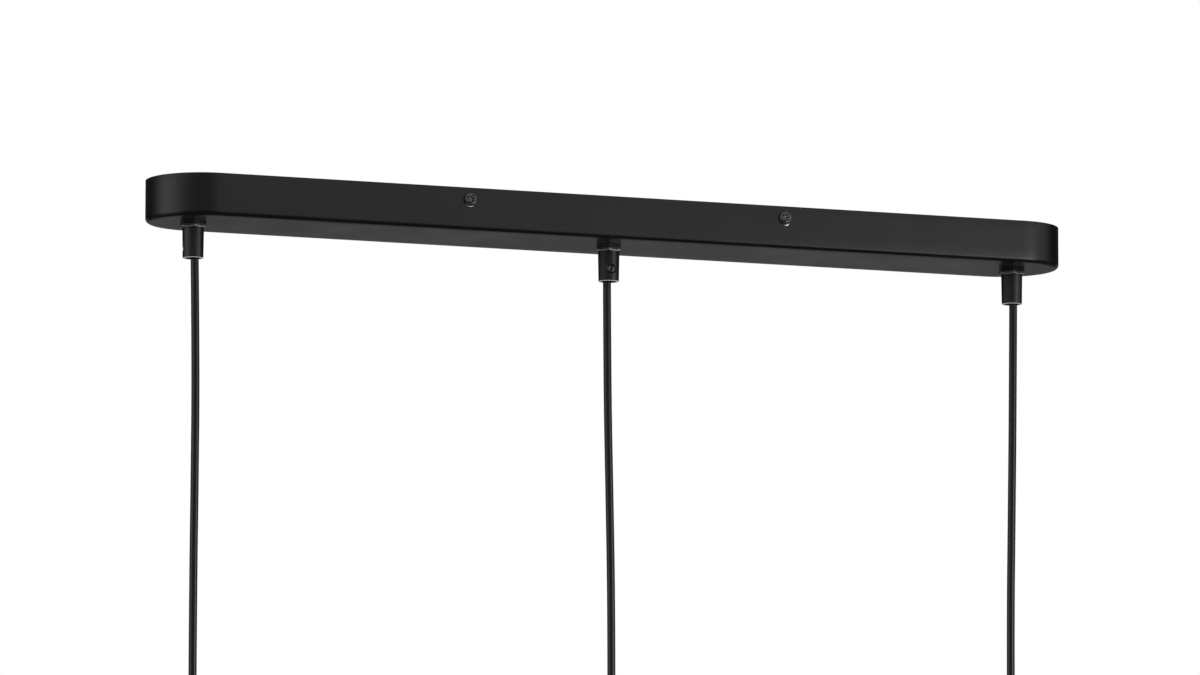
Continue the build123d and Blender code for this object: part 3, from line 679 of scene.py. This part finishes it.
NUT_FLATS = 15.0
INNER_NUT_FLATS = 14.0
NUT_BORE = 5.0
NUT_BORE_CHAMFER = 0.25
NUT_SLOPE = radians(34)
NUT_SEAT_INSET = 0.08
NUT_CORNER_TRIM = 0.12
NUT_CORNER_EASE = 18
NUT_SIDE_STEPS = (0.10, 0.25, 0.45, 0.7)


def nearest_drop(x):
    """Which drop each x, in millimetres, is nearest to."""
    return np.argmin(np.abs(x[:, None] - np.array(DROPS)[:, 0]), 1)


def nut_points(centre, flats, turn, top, bottom, seat_top, seat_bottom, steps=288):
    """Hexagon nut: the side's distance from the axis is flats / 2 over the cosine of the angle from
    the nearest flat's middle, eased at the corners, and each row keeps its place along the section:
    bore, face, cone, a small round, and the side up to the other cone and face."""
    angle = np.arange(steps) / steps * 2 * pi
    off = (angle - radians(turn) + pi / 6) % (pi / 3) - pi / 6
    side = flats / 2 / np.cos(off)
    corner = flats / sqrt(3) - NUT_CORNER_TRIM
    side = corner - np.log1p(np.exp((corner - side) * NUT_CORNER_EASE)) / NUT_CORNER_EASE

    def level(r, z):
        return np.full(steps, r), np.full(steps, z)

    def cone_rows(face_z, seat, away):
        """From the face out along the cone to the side, then past a small round edge."""
        crease = face_z + away * np.maximum(side - seat, 0) * tan(NUT_SLOPE)
        near = np.minimum(side, seat)
        face = np.full(steps, face_z)
        rows = [(near - 0.4, face), (near, face)]
        rows += [(near + (side - near) * share, face_z + (crease - face_z) * share) for share in (0.5, 0.9)]
        rows.append((side - 0.02, crease + away * 0.03))
        return rows + [(side, crease + away * step) for step in NUT_SIDE_STEPS]

    wide = NUT_BORE + NUT_BORE_CHAMFER
    rows = [level(NUT_BORE, bottom + NUT_BORE_CHAMFER), level(wide, bottom)]
    rows += cone_rows(bottom, seat_bottom, 1) + cone_rows(top, seat_top, -1)[::-1]
    rows += [level(wide, top), level(NUT_BORE, top - NUT_BORE_CHAMFER),
             level(NUT_BORE, bottom + NUT_BORE_CHAMFER)]
    r, z = np.stack([row[0] for row in rows], 1), np.stack([row[1] for row in rows], 1)
    x, y = centre[0] + r * np.cos(angle)[:, None], centre[1] + r * np.sin(angle)[:, None]
    return np.stack([x, y, z], -1) * MM


def make_nuts(name, node, flats, turns, material, slot_name, chamfer_top):
    """One nut at each drop; a turn, in degrees, points at a corner. The lower edge is coned."""
    top, bottom = span_of(node)
    seat = flats / 2 - NUT_SEAT_INSET
    seat_top = seat if chamfer_top else flats / sqrt(3)
    grids = [nut_points(centre, flats, turn + 30, top, bottom, seat_top, seat)
             for centre, turn in zip(DROPS, turns)]
    piece = finish_mesh(name, *join_grids(grids), material, slot_name, "ceiling_unit", 20.0)

    def worn_and_glint_crease(x, y, z):
        """Bare colour at half strength along the crease of the lower cone, where a spanner slips: a painted
        highlight on the crease as well as wear.
        """
        r = np.hypot(x - np.array(DROPS)[nearest_drop(x), 0], y)
        above = z - bottom - np.maximum(r - seat, 0) * tan(NUT_SLOPE)
        return 0.5 * eased(above, -0.02, 0.04) * eased(above, 0.45, 0.15) * (r > seat)

    # Painted light: the nut's lower part is lighter, and its top next to the canopy stays dark, as the
    # light falls there.
    def lit_lower_band(x, y, z):
        return eased(z, top - 1.2, top - 1.9) * eased(z, bottom, bottom + 0.3)

    store(piece, "rub_and_sheen", lit_lower_band)
    store(piece, "bare_and_glint", worn_and_glint_crease)
    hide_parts(node)


make_nuts("grip_nuts", "outer_nuts", NUT_FLATS, NUT_TURNS, BLACK_NUT, "black_turned_metal", False)
make_nuts("inner_nuts", "lock_nuts", INNER_NUT_FLATS, INNER_NUT_TURNS, ZINC, "zinc_steel", True)

THREAD_RADIUS = 4.95
THREAD_PITCH = 1.0
THREAD_DEPTH = 0.42
NIPPLE_BORE = 3.8
NIPPLE_END_RADIUS = 4.6
NIPPLE_CHAMFER = 0.4


def make_turned_set(name, node, outline, steps, radius_at):
    """One zinc-plated piece at each drop, turned from the same outline."""
    grids = [turned_points(outline, centre, steps, radius_at) for centre in DROPS]
    piece = finish_mesh(name, *join_grids(grids), ZINC, "zinc_steel", "ceiling_unit", 45.0)
    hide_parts(node)


def make_nipples():
    """Threaded tubes: the outer radius is a cosine of height less a full turn per pitch."""
    top, bottom = span_of("threaded_nipples")
    outline = [(NIPPLE_BORE, bottom), (NIPPLE_END_RADIUS, bottom), (THREAD_RADIUS, bottom + NIPPLE_CHAMFER),
               (THREAD_RADIUS, top - NIPPLE_CHAMFER), (NIPPLE_END_RADIUS, top), (NIPPLE_BORE, top),
               (NIPPLE_BORE, bottom)]

    def radius_at(r, z, angle):
        wave = 0.5 - 0.5 * np.cos(2 * pi * z / THREAD_PITCH - angle)
        return np.where(r > 4.7, r - THREAD_DEPTH * wave, r)

    make_turned_set("nipples", "threaded_nipples", refined(np.array(outline), 0.12), 48, radius_at)


make_nipples()

WASHER_BORE = 5.0
WASHER_RADIUS = 8.0
TOOTH_ROOT_RADIUS = 6.6
WASHER_TEETH = 12


def make_lock_washers():
    """Toothed washers: at the rim the radius dips in twelve slots."""
    top, bottom = span_of("lock_washers")
    outline = [(WASHER_BORE, top), (WASHER_BORE, bottom), (WASHER_RADIUS, bottom), (WASHER_RADIUS, top),
               (WASHER_BORE, top)]

    def radius_at(r, z, angle):
        share = np.abs((angle * WASHER_TEETH / (2 * pi)) % 1 - 0.5)
        slot = np.clip((share - 0.32) / 0.04, 0, 1)
        return np.where(r > TOOTH_ROOT_RADIUS, r - slot * (r - TOOTH_ROOT_RADIUS), r)

    make_turned_set("toothed_washers", "lock_washers", refined(np.array(outline), 0.25), 240, radius_at)


make_lock_washers()

GRIP_TOP_RADIUS = 6.65
GRIP_BOTTOM_RADIUS = 6.35
GRIP_BORE_RADIUS = 4.65
GRIP_THREAD_RADIUS = 5.0
GRIP_THREAD_LENGTH = 8.0
MOUTH_CHAMFER_WIDTH = 0.35
MOUTH_CHAMFER_HEIGHT = 0.55
GRIP_SCREW_Z = GRIP_TOP - 11.2
GRIP_SCREW_RADIUS = 2.55
GRIP_SEAT_RADIUS = 3.1
GRIP_SEAT_DEPTH = 0.6
GRIP_HOLE_DEPTH = 1.15


def make_grip(index):
    """Turned sleeve: tapered outside, plain bore, chamfered mouth, with a conical seat and a hole
    pressed in round the set screw, where the radius falls with the distance from its axis."""
    centre = DROPS[index]
    facing = radians(GRIP_SCREW_TURNS[index])
    ledge = GRIP_TOP - GRIP_THREAD_LENGTH
    outline = rounded(
        [(GRIP_THREAD_RADIUS, GRIP_TOP), (GRIP_TOP_RADIUS, GRIP_TOP), (GRIP_BOTTOM_RADIUS, MOUTH),
         (GRIP_BORE_RADIUS + MOUTH_CHAMFER_WIDTH, MOUTH), (GRIP_BORE_RADIUS, MOUTH + MOUTH_CHAMFER_HEIGHT),
         (GRIP_BORE_RADIUS, ledge), (GRIP_THREAD_RADIUS, ledge), (GRIP_THREAD_RADIUS, GRIP_TOP)],
        [0.25, 0.3, 0.1, 0.15, 0, 0], 6,
    )
    profile = refined(outline, 0.16)

    def radius_at(r, z, angle):
        off = (angle - facing + pi) % (2 * pi) - pi
        away = np.hypot(r * np.sin(off), z - GRIP_SCREW_Z)
        outside = (r > GRIP_BORE_RADIUS + 1.0) & (np.abs(off) < 1.2)
        drop = np.clip((GRIP_SEAT_RADIUS - away) / (GRIP_SEAT_RADIUS - GRIP_SCREW_RADIUS), 0, 1)
        hole = np.clip((GRIP_SCREW_RADIUS - away) / 0.18, 0, 1)
        return np.where(outside, r - GRIP_SEAT_DEPTH * drop - GRIP_HOLE_DEPTH * hole, r)

    name = NAMES[index]
    piece = turned_piece(f"grip_{name}", profile, centre, BLACK_TURNED, "black_turned_metal",
                         "ceiling_unit", 360, radius_at, 32.0)
    # Painted highlight: the mouth's ring takes the near white bare colour, standing in for its bright
    # reflection; the edge is worn there too.
    store(piece, "bare_and_glint", lambda x, y, z: eased(z, MOUTH + 0.2, MOUTH + 0.1))
    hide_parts(f"cord_grip_{name}")


for index in range(3):
    make_grip(index)

GRIP_SCREW_PROUD = (-0.2, -0.5, -0.4)
GRIP_SCREW_HEADS = (20.0, -14.0, -35.0)
GRIP_SCREW_TILTS = (0.14, 0.04, 0.0)
GRIP_SCREW_PLAY = 0.3
SLOT_HALF_WIDTH = 0.62
SLOT_DEPTH = 1.6


def set_screw_points(index, steps=96):
    """Slotted set screw along its own axis: a disc whose face has a slot, where the height falls
    with the distance across the slot, and a wall that runs down to the cord."""
    facing = radians(GRIP_SCREW_TURNS[index])
    slope = (GRIP_TOP_RADIUS - GRIP_BOTTOM_RADIUS) / (GRIP_TOP - MOUTH)
    face = GRIP_TOP_RADIUS - slope * (GRIP_TOP - GRIP_SCREW_Z) + GRIP_SCREW_PROUD[index]
    shift_x, shift_y = CORD_OFFSETS[index]
    tip = CORD_RADIUS + shift_x * cos(facing) + shift_y * sin(facing)
    radius = GRIP_SCREW_RADIUS - GRIP_SCREW_PLAY
    profile = rounded([(0, face), (radius, face), (radius, tip), (0, tip)], [0.3, 0.4], 4)
    profile = refined(profile, 0.12)
    turn = np.arange(steps) / steps * 2 * pi
    turn, r = np.meshgrid(turn, profile[:, 0], indexing="ij")
    out = np.broadcast_to(profile[:, 1], r.shape)
    u, v = r * np.cos(turn), r * np.sin(turn)
    head = radians(GRIP_SCREW_HEADS[index])
    across = u * cos(head) + v * sin(head)
    slot = np.clip((SLOT_HALF_WIDTH - np.abs(across)) / 0.1, 0, 1) * SLOT_DEPTH
    out = np.where(out > face - 0.45, out - slot + GRIP_SCREW_TILTS[index] * v, out)
    x = DROPS[index][0] + out * cos(facing) - u * sin(facing)
    y = DROPS[index][1] + out * sin(facing) + u * cos(facing)
    return np.stack([x, y, GRIP_SCREW_Z + v], -1) * MM


def lit_screw_faces(x, y, z):
    """1 on each set screw's face, painted lighter as the light it catches, 0 in its slot: it rises with the
    distance from the grip's axis.
    """
    nearest = nearest_drop(x)
    axis_x, axis_y = np.array(DROPS).T[:, nearest]
    facing = np.radians(np.array(GRIP_SCREW_TURNS))[nearest]
    out = (x - axis_x) * np.cos(facing) + (y - axis_y) * np.sin(facing)
    face = GRIP_TOP_RADIUS - 0.1 + np.array(GRIP_SCREW_PROUD)[nearest]
    return eased(out, face - 0.7, face - 0.4)


def make_set_screws():
    """The three grips' set screws as one piece, with faces painted lighter, as the light they catch."""
    grids = [set_screw_points(index) for index in range(3)]
    piece = finish_mesh("set_screws", *join_grids(grids), BLACK_SET_SCREW, "black_screw_steel",
                        "ceiling_unit", 30.0)
    store(piece, "rub_and_sheen", lit_screw_faces)
    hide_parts("grip_screws")


make_set_screws()


# ---------------- cords

HANGING_LENGTH = 270.0
PIVOT_DEPTH = 0.4
PIVOT_Z = MOUTH - PIVOT_DEPTH
CORD_END_Z = MOUTH - HANGING_LENGTH
DROP_PITCH = 271.0
# Depth below the mouth, then x and y from the grip's axis, as the construction has them.
CORD_WAYS = (
    ((67.0, 2.4, 0.3), (137.0, 2.1, 0.2), (204.0, 1.5, 0.0)),
    ((66.0, -0.5, 0.9), (136.0, 0.9, 0.5), (205.0, 2.0, 0.0)),
    ((68.0, 0.0, -0.6), (138.0, -1.1, -0.5), (204.0, -2.0, 0.0)),
)
DOME_STEPS = 7
CORD_SIDES = 48


def cord_route(index):
    """The route's points in metres, with the last run plumb over the lampholder."""
    place = (index - 1) * DROP_PITCH
    shift, way = CORD_OFFSETS[index], CORD_WAYS[index]
    route = [(place + shift[0], shift[1], PIVOT_Z)]
    route += [(place + x, y, MOUTH - depth) for depth, x, y in way]
    route.append((place + way[-1][1], way[-1][2], CORD_END_Z))
    return np.array(route) * MM


def smooth_line(name, route):
    """Points along the NURBS spline that the route's points control."""
    curve = bpy.data.curves.new(name, "CURVE")
    curve.dimensions = "3D"
    curve.resolution_u = 24
    spline = curve.splines.new("NURBS")
    spline.points.add(len(route) - 1)
    for point, place in zip(spline.points, route):
        point.co = (*place, 1)
    spline.order_u = 3
    spline.use_endpoint_u = True
    holder = bpy.data.objects.new(name, curve)
    bpy.context.collection.objects.link(holder)
    bpy.context.view_layer.update()
    mesh = bpy.data.meshes.new_from_object(holder)
    line = np.zeros(len(mesh.vertices) * 3)
    mesh.vertices.foreach_get("co", line)
    bpy.data.objects.remove(holder)
    bpy.data.meshes.remove(mesh)
    return line.reshape(-1, 3)


def make_cord(index):
    """Cord sheath along the smooth line, closed at both ends, its top end domed in the mouth."""
    name = NAMES[index]
    route = cord_route(index)
    line = smooth_line(f"cord_line_{name}", route)
    if line[0, 2] < line[-1, 2]:
        line = line[::-1]
    rise = np.linspace(pi / 2, 0, DOME_STEPS)[:-1]
    upward = (line[0] - line[1]) / np.linalg.norm(line[0] - line[1])
    dome = line[0] + np.sin(rise)[:, None] * upward * CORD_RADIUS * MM
    radius = np.concatenate([np.cos(rise), np.ones(len(line)), [0.0]])
    spine = np.vstack([dome, line, line[-1:]])
    way = np.vstack([np.repeat(line[:1] - line[1:2], len(dome), 0), np.gradient(line, axis=0) * -1,
                     line[-2:-1] - line[-1:]])
    way /= np.linalg.norm(way, axis=1)[:, None]
    side = np.cross(way, (0.0, 1.0, 0.0))
    side /= np.linalg.norm(side, axis=1)[:, None]
    other = np.cross(way, side)
    turn = np.arange(CORD_SIDES) / CORD_SIDES * 2 * pi
    ring = np.cos(turn)[:, None, None] * side + np.sin(turn)[:, None, None] * other
    points = spine + (radius * CORD_RADIUS * MM)[:, None] * ring
    piece = finish_mesh(f"hanging_cord_{name}", points, grid_faces(CORD_SIDES, len(spine)), CORD_SHEATH,
                        "black_pvc", f"hanging_cord_{name}", 60.0)
    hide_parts(f"cord_{name}")
    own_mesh(piece)


# ---------------- lampholders

RELIEF_TOP, RELIEF_BOTTOM = span_of("holder_relief_middle")
CAP_TOP, CAP_BOTTOM = span_of("holder_cap_middle")
BODY_TOP, BODY_BOTTOM = span_of("holder_body_middle")
SHELL_TOP, SHELL_BOTTOM = span_of("screw_shell_middle")
RING_TOP, RING_BOTTOM = span_of("shade_ring_middle")
HOLDERS = [middle_of(f"holder_cap_{name}") for name in NAMES]
HOLDER_PIECES = {name: [] for name in NAMES}

CORD_HOLE_RADIUS = 2.55
RELIEF_TIP_RADIUS = 4.75
COLLAR_RADIUS = 8.0
COLLAR_HEIGHT = 4.0
RELIEF_THREAD_RADIUS = 4.95
KNURL_RIBS = 24
KNURL_DEPTH = 0.22
CAP_RADIUS = 20.0
CAP_WALL = 2.0
CAP_BORE = 5.0
CAP_RIBS = 48
CAP_RIB_DEPTH = 0.3
COLLAR_BAND_RADIUS = 21.0
BAND_HEIGHT = 3.0
SKIRT_RADIUS = 19.5
SKIRT_PITCH = 2.5
SKIRT_THREAD_DEPTH = 0.75
SKIRT_THREAD_LENGTH = 36.0
BODY_BORE = 15.9
SPIGOT_RADIUS = 17.95
SPIGOT_BORE = 17.1
SHELL_RADIUS = 13.9
SHELL_WALL = 0.5
SHELL_SHOULDER = 6.0
SHELL_HOLE = 7.5
SHELL_PITCH = 3.62
SHELL_SWING = 0.4
RING_BORE = 19.8
RING_RADIUS = 28.5
RING_LIP = 2.5
RING_BAND_RADIUS = 25.0
RING_RIB_HEIGHT = 1.75
RING_RIB_HALF_WIDTH = 2.1


def relief_profile():
    """Strain relief: tapered sleeve with three soft ribs over a knurled collar."""
    collar, lip = CAP_TOP + COLLAR_HEIGHT, RELIEF_TOP - 1.9
    outline = [(CORD_HOLE_RADIUS, lip), (CORD_HOLE_RADIUS, RELIEF_TOP), (RELIEF_TIP_RADIUS, RELIEF_TOP)]
    for share in (0.3, 0.5, 0.7):
        r = RELIEF_TIP_RADIUS + share * 2.0
        z = RELIEF_TOP - share * 12.0
        outline += [(r, z + 0.7), (r - 0.45, z + 0.4), (r - 0.45, z - 0.4), (r + 0.1, z - 0.7)]
    outline += [(6.75, collar), (COLLAR_RADIUS, collar), (COLLAR_RADIUS, CAP_TOP),
                (RELIEF_THREAD_RADIUS, CAP_TOP), (RELIEF_THREAD_RADIUS, RELIEF_BOTTOM),
                (0.0, RELIEF_BOTTOM)]
    radii = [0.1, 0.3] + [0.15] * 12 + [0.2, 0.5, 0.2, 0, 0.3]
    profile = rounded(outline, radii[:len(outline) - 2], 3)
    return np.vstack([(0.0, lip), profile])


def knurl(r, z, angle):
    """Grip ribs on the collar: a cosine round it, only at its full radius."""
    on_collar = np.clip((r - 7.3) / 0.4, 0, 1)
    return r - on_collar * KNURL_DEPTH * (0.5 - 0.5 * np.cos(KNURL_RIBS * angle))


def cap_profile():
    """Cap: flat crown, wide shoulder arc, straight skirt with a bead at its lip, hollow inside."""
    inner, ceiling = CAP_RADIUS - CAP_WALL, CAP_TOP - CAP_WALL
    outline = [(CAP_BORE, CAP_TOP), (CAP_RADIUS, CAP_TOP), (CAP_RADIUS, CAP_BOTTOM), (inner, CAP_BOTTOM),
               (inner, ceiling), (CAP_BORE, ceiling), (CAP_BORE, CAP_TOP)]
    return rounded(outline, [12.0, 0.6, 0.2, 10.0, 0.1], 14)


def cap_ribs(r, z, angle):
    """Fine grip ribs round the lower skirt, fading out under the shoulder."""
    on_skirt = np.clip((CAP_BOTTOM + 7.5 - z) / 0.8, 0, 1) * np.clip((z - CAP_BOTTOM - 0.8) / 0.5, 0, 1)
    wave = 0.5 - 0.5 * np.cos(CAP_RIBS * angle)
    return np.where(r > CAP_RADIUS - 0.5, r - CAP_RIB_DEPTH * on_skirt * wave, r)


def body_profile():
    """Threaded body, open below: spigot in the cap, collar, long skirt, bore."""
    seat = CAP_BOTTOM - BAND_HEIGHT
    outline = [(SPIGOT_BORE, BODY_TOP), (SPIGOT_RADIUS, BODY_TOP), (SPIGOT_RADIUS, CAP_BOTTOM),
               (COLLAR_BAND_RADIUS, CAP_BOTTOM), (COLLAR_BAND_RADIUS, seat), (SKIRT_RADIUS, seat),
               (SKIRT_RADIUS, BODY_BOTTOM), (BODY_BORE, BODY_BOTTOM), (BODY_BORE, seat),
               (SPIGOT_BORE, seat), (SPIGOT_BORE, BODY_TOP)]
    return refined(rounded(outline, [0.2, 0.1, 0.5, 0.5, 0.1, 0.6, 0.5, 0.1, 0.1], 3), 0.3)


def skirt_thread(r, z, angle):
    """Rolled thread: the skirt's radius is a cosine of height less a full turn per pitch."""
    lead = np.clip((BODY_BOTTOM + SKIRT_THREAD_LENGTH - z) / 1.0, 0, 1)
    lead = lead * np.clip((z - BODY_BOTTOM - 0.4) / 1.0, 0, 1)
    lead = lead * np.clip((CAP_BOTTOM - 4.2 - z) / 1.0, 0, 1)
    wave = 0.5 - 0.5 * np.cos(2 * pi * z / SKIRT_PITCH - angle)
    on_skirt = (r > 18.8) & (r < SKIRT_RADIUS + 0.1)
    return np.where(on_skirt, r - SKIRT_THREAD_DEPTH * lead * wave, r)


def shell_profile():
    """Screw shell: floor flange, coned shoulder, and a wall rolled into a thread."""
    shoulder, under = SHELL_TOP - SHELL_SHOULDER, SHELL_TOP - SHELL_WALL
    inner = SHELL_RADIUS - SHELL_WALL
    outline = [(SHELL_HOLE, SHELL_TOP), (9.5, SHELL_TOP), (SHELL_RADIUS, shoulder),
               (SHELL_RADIUS, SHELL_BOTTOM), (inner, SHELL_BOTTOM), (inner, shoulder), (9.2, under),
               (SHELL_HOLE, under), (SHELL_HOLE, SHELL_TOP)]
    return refined(rounded(outline, [0.3, 1.0, 0.1, 0.1, 1.0, 0.3, 0.1], 3), 0.4)


def shell_thread(r, z, angle):
    """The wall swings out and back by the same amount inside and outside, once each pitch."""
    below = np.clip((SHELL_TOP - SHELL_SHOULDER - z) / 1.5, 0, 1)
    on_wall = below * np.clip((z - SHELL_BOTTOM) / 1.0, 0, 1)
    wave = np.cos(2 * pi * z / SHELL_PITCH - angle)
    return r + np.where(r > 13.0, SHELL_SWING * on_wall * wave, 0)


def ring_profile():
    """Shade ring: wide flat lip above a narrower grip band."""
    lip = RING_TOP - RING_LIP
    outline = [(RING_BORE, RING_TOP), (RING_RADIUS, RING_TOP), (RING_RADIUS, lip), (RING_BAND_RADIUS, lip),
               (RING_BAND_RADIUS, RING_BOTTOM), (RING_BORE, RING_BOTTOM), (RING_BORE, RING_TOP)]
    return refined(rounded(outline, [0.5, 0.5, 0.4, 0.5, 0.3], 4), 0.6)


def ring_ribs(r, z, angle):
    """Twelve round finger ribs on the grip band: each adds a half circle's height over its width."""
    band = np.clip((RING_TOP - RING_LIP - 0.1 - z) / 0.15, 0, 1) * np.clip((r - 24.4) / 0.5, 0, 1)
    off = (angle + pi / 12) % (pi / 6) - pi / 12
    lobe = np.sqrt(np.clip(1 - (RING_BAND_RADIUS * off / RING_RIB_HALF_WIDTH) ** 2, 0, 1))
    return r + band * RING_RIB_HEIGHT * lobe


def make_lampholder(index):
    """Five turned pieces and two CAD nodes, which together hang on one cord."""
    name, centre = NAMES[index], HOLDERS[index]
    body, ring_body = f"lampholder_{name}", f"ring_{name}"
    made = [
        ("strain_relief", "holder_relief", relief_profile(), BLACK_NYLON, "black_nylon", body, 192, knurl),
        ("cap", "holder_cap", cap_profile(), PHENOLIC, "black_phenolic", body, 288, cap_ribs),
        ("threaded_body", "holder_body", body_profile(), PHENOLIC, "black_phenolic", body, 96,
         skirt_thread),
        ("threaded_shell", "screw_shell", shell_profile(), BRASS, "brass", body, 96, shell_thread),
        ("ring", "shade_ring", ring_profile(), PHENOLIC, "black_phenolic", ring_body, 240, ring_ribs),
    ]
    for label, node, profile, *rest in made:
        piece = turned_piece(f"{label}_{name}", profile, centre, *rest)
        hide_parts(f"{node}_{name}")
        HOLDER_PIECES[name].append(piece)
    for node in ("contact_carrier", "centre_contact"):
        HOLDER_PIECES[name].append(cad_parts[f"{node}_{name}"])


for index in range(3):
    make_lampholder(index)
    make_cord(index)


# ---------------- finishes of the pieces kept from the CAD

KEPT = {
    "ceiling_bracket": ZINC, "terminal_block": NYLON, "terminal_sleeves": BRASS,
    "terminal_screws": ZINC, "terminal_fixing_screw": ZINC, "earth_screw": ZINC, "earth_washer": ZINC,
    "earth_lug": TINNED, "earth_lead": EARTH_PVC,
}
for name in NAMES:
    KEPT[f"cord_sheath_{name}"] = CORD_SHEATH
    KEPT[f"cord_neck_{name}"] = CORD_SHEATH
    KEPT[f"brown_core_{name}"] = BROWN_PVC
    KEPT[f"blue_core_{name}"] = BLUE_PVC
    KEPT[f"contact_carrier_{name}"] = CERAMIC
    KEPT[f"centre_contact_{name}"] = BRASS
for node, material in KEPT.items():
    for material_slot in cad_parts[node].material_slots:
        material_slot.material = material


# ---------------- room: floor, light and background

FLOOR_Z = -2.2
FLOOR_REACH = 6.0
FLOOR_PALE = (0.86, 0.86, 0.85)
FLOOR_DARK = grey(0.10)


def make_floor():
    """Pale floor far below, dark to shiny surfaces, so that the canopy's underside keeps its depth.
    From underneath it can't be seen, so that it never hides the part."""
    mesh = bpy.data.meshes.new("floor")
    corners = ((-1, -1), (1, -1), (1, 1), (-1, 1))
    mesh.from_pydata([(x * FLOOR_REACH, y * FLOOR_REACH, FLOOR_Z) for x, y in corners], [], [(0, 1, 2, 3)])
    floor = bpy.data.objects.new("floor", mesh)
    bpy.context.collection.objects.link(floor)
    material, tree, shader = start_material("pale_floor", 0.9, specular=0.1)
    glossy = add_node(tree, "LightPath").outputs["Is Glossy Ray"]
    tree.links.new(mix_colours(tree, glossy, FLOOR_PALE, FLOOR_DARK), shader.inputs["Base Color"])
    clear = add_node(tree, "BsdfTransparent")
    below = add_node(tree, "NewGeometry").outputs["Backfacing"]
    both = tree.nodes.new("ShaderNodeMixShader")
    for socket, output in zip(both.inputs, (below, shader.outputs[0], clear.outputs[0])):
        tree.links.new(output, socket)
    tree.links.new(both.outputs[0], tree.nodes["Material Output"].inputs["Surface"])
    mesh.materials.append(material)


TO_CAMERA = (-sin(CAMERA_YAW), -cos(CAMERA_YAW), 0.0)
WHITE = grey(1.0)
EVEN_TONE = grey(0.60)
BAND_TONE = grey(0.42)
PANEL_TONE = grey(0.66)
FRONT_TONE = grey(0.24)
SIDE_TONE = grey(0.02)
BELOW_TONE = grey(0.01)

# Limits between which one tone gives way to the next. The first three are the ray's cosine with
# the level direction to the camera, and the others the sine of its height over the horizon.
PANEL_EDGES = (-0.50, 0.10)
FRONT_EDGES = (0.70, 0.97)
BEHIND_EDGES = (-0.87, -0.96)
BELOW_EDGES = (-0.32, 0.04)
BAND_FOOT = (-0.32, -0.02)
BAND_HEAD = (0.16, 0.04)


def make_world():
    """White to the camera and through glass. Shiny surfaces see a studio: a pale low band behind,
    pale panels to both sides of the camera, dim between them, dark at the sides' far ends and
    below. Matt surfaces get an even light."""
    world = bpy.data.worlds.new("studio")
    bpy.context.scene.world = world
    world.use_nodes = True
    tree = world.node_tree
    ground = tree.nodes["Background"]
    way = add_node(tree, "TexCoord").outputs["Generated"]
    height = add_node(tree, "SeparateXYZ", {0: way}).outputs["Z"]
    facing = add_node(tree, "VectorMath", {0: way}, operation="DOT_PRODUCT")
    facing.inputs[1].default_value = TO_CAMERA
    facing = facing.outputs["Value"]
    panels = mix_colours(tree, ramp_mask(tree, facing, *PANEL_EDGES), SIDE_TONE, PANEL_TONE)
    front = mix_colours(tree, ramp_mask(tree, facing, *FRONT_EDGES), panels, FRONT_TONE)
    low = mix_colours(tree, ramp_mask(tree, height, *BELOW_EDGES), BELOW_TONE, front)
    foot, head = ramp_mask(tree, height, *BAND_FOOT), ramp_mask(tree, height, *BAND_HEAD)
    band = mix_colours(tree, math_node(tree, "MULTIPLY", foot, head), low, BAND_TONE)
    studio = mix_colours(tree, ramp_mask(tree, facing, *BEHIND_EDGES), low, band)
    rays = add_node(tree, "LightPath").outputs
    lit = mix_colours(tree, rays["Is Glossy Ray"], EVEN_TONE, studio)
    seen = math_node(tree, "MAXIMUM", rays["Is Camera Ray"], rays["Is Transmission Ray"])
    tree.links.new(mix_colours(tree, seen, lit, WHITE), ground.inputs["Color"])
    ground.inputs["Strength"].default_value = 1.0


LAMP_AIM = (0, 0, -0.05)


def soft_lamp(name, place, width, height, power):
    """Area lamp that points at the canopy and that the camera doesn't see."""
    data = bpy.data.lights.new(name, "AREA")
    data.shape = "RECTANGLE"
    data.size, data.size_y = width, height
    data.energy = power
    lamp = bpy.data.objects.new(name, data)
    lamp.location = place
    lamp.rotation_euler = (Vector(LAMP_AIM) - Vector(place)).to_track_quat("-Z", "Y").to_euler()
    bpy.context.collection.objects.link(lamp)
    lamp.visible_camera = False


make_floor()
make_world()
soft_lamp("lamp_right", (1.075, -1.225, -0.40), 0.7, 1.0, 6.0)
soft_lamp("lamp_back", (-0.55, 1.55, 0.95), 1.6, 0.7, 7.0)
soft_lamp("lamp_left", (-1.6, 0.02, -0.40), 1.0, 1.5, 2.4)
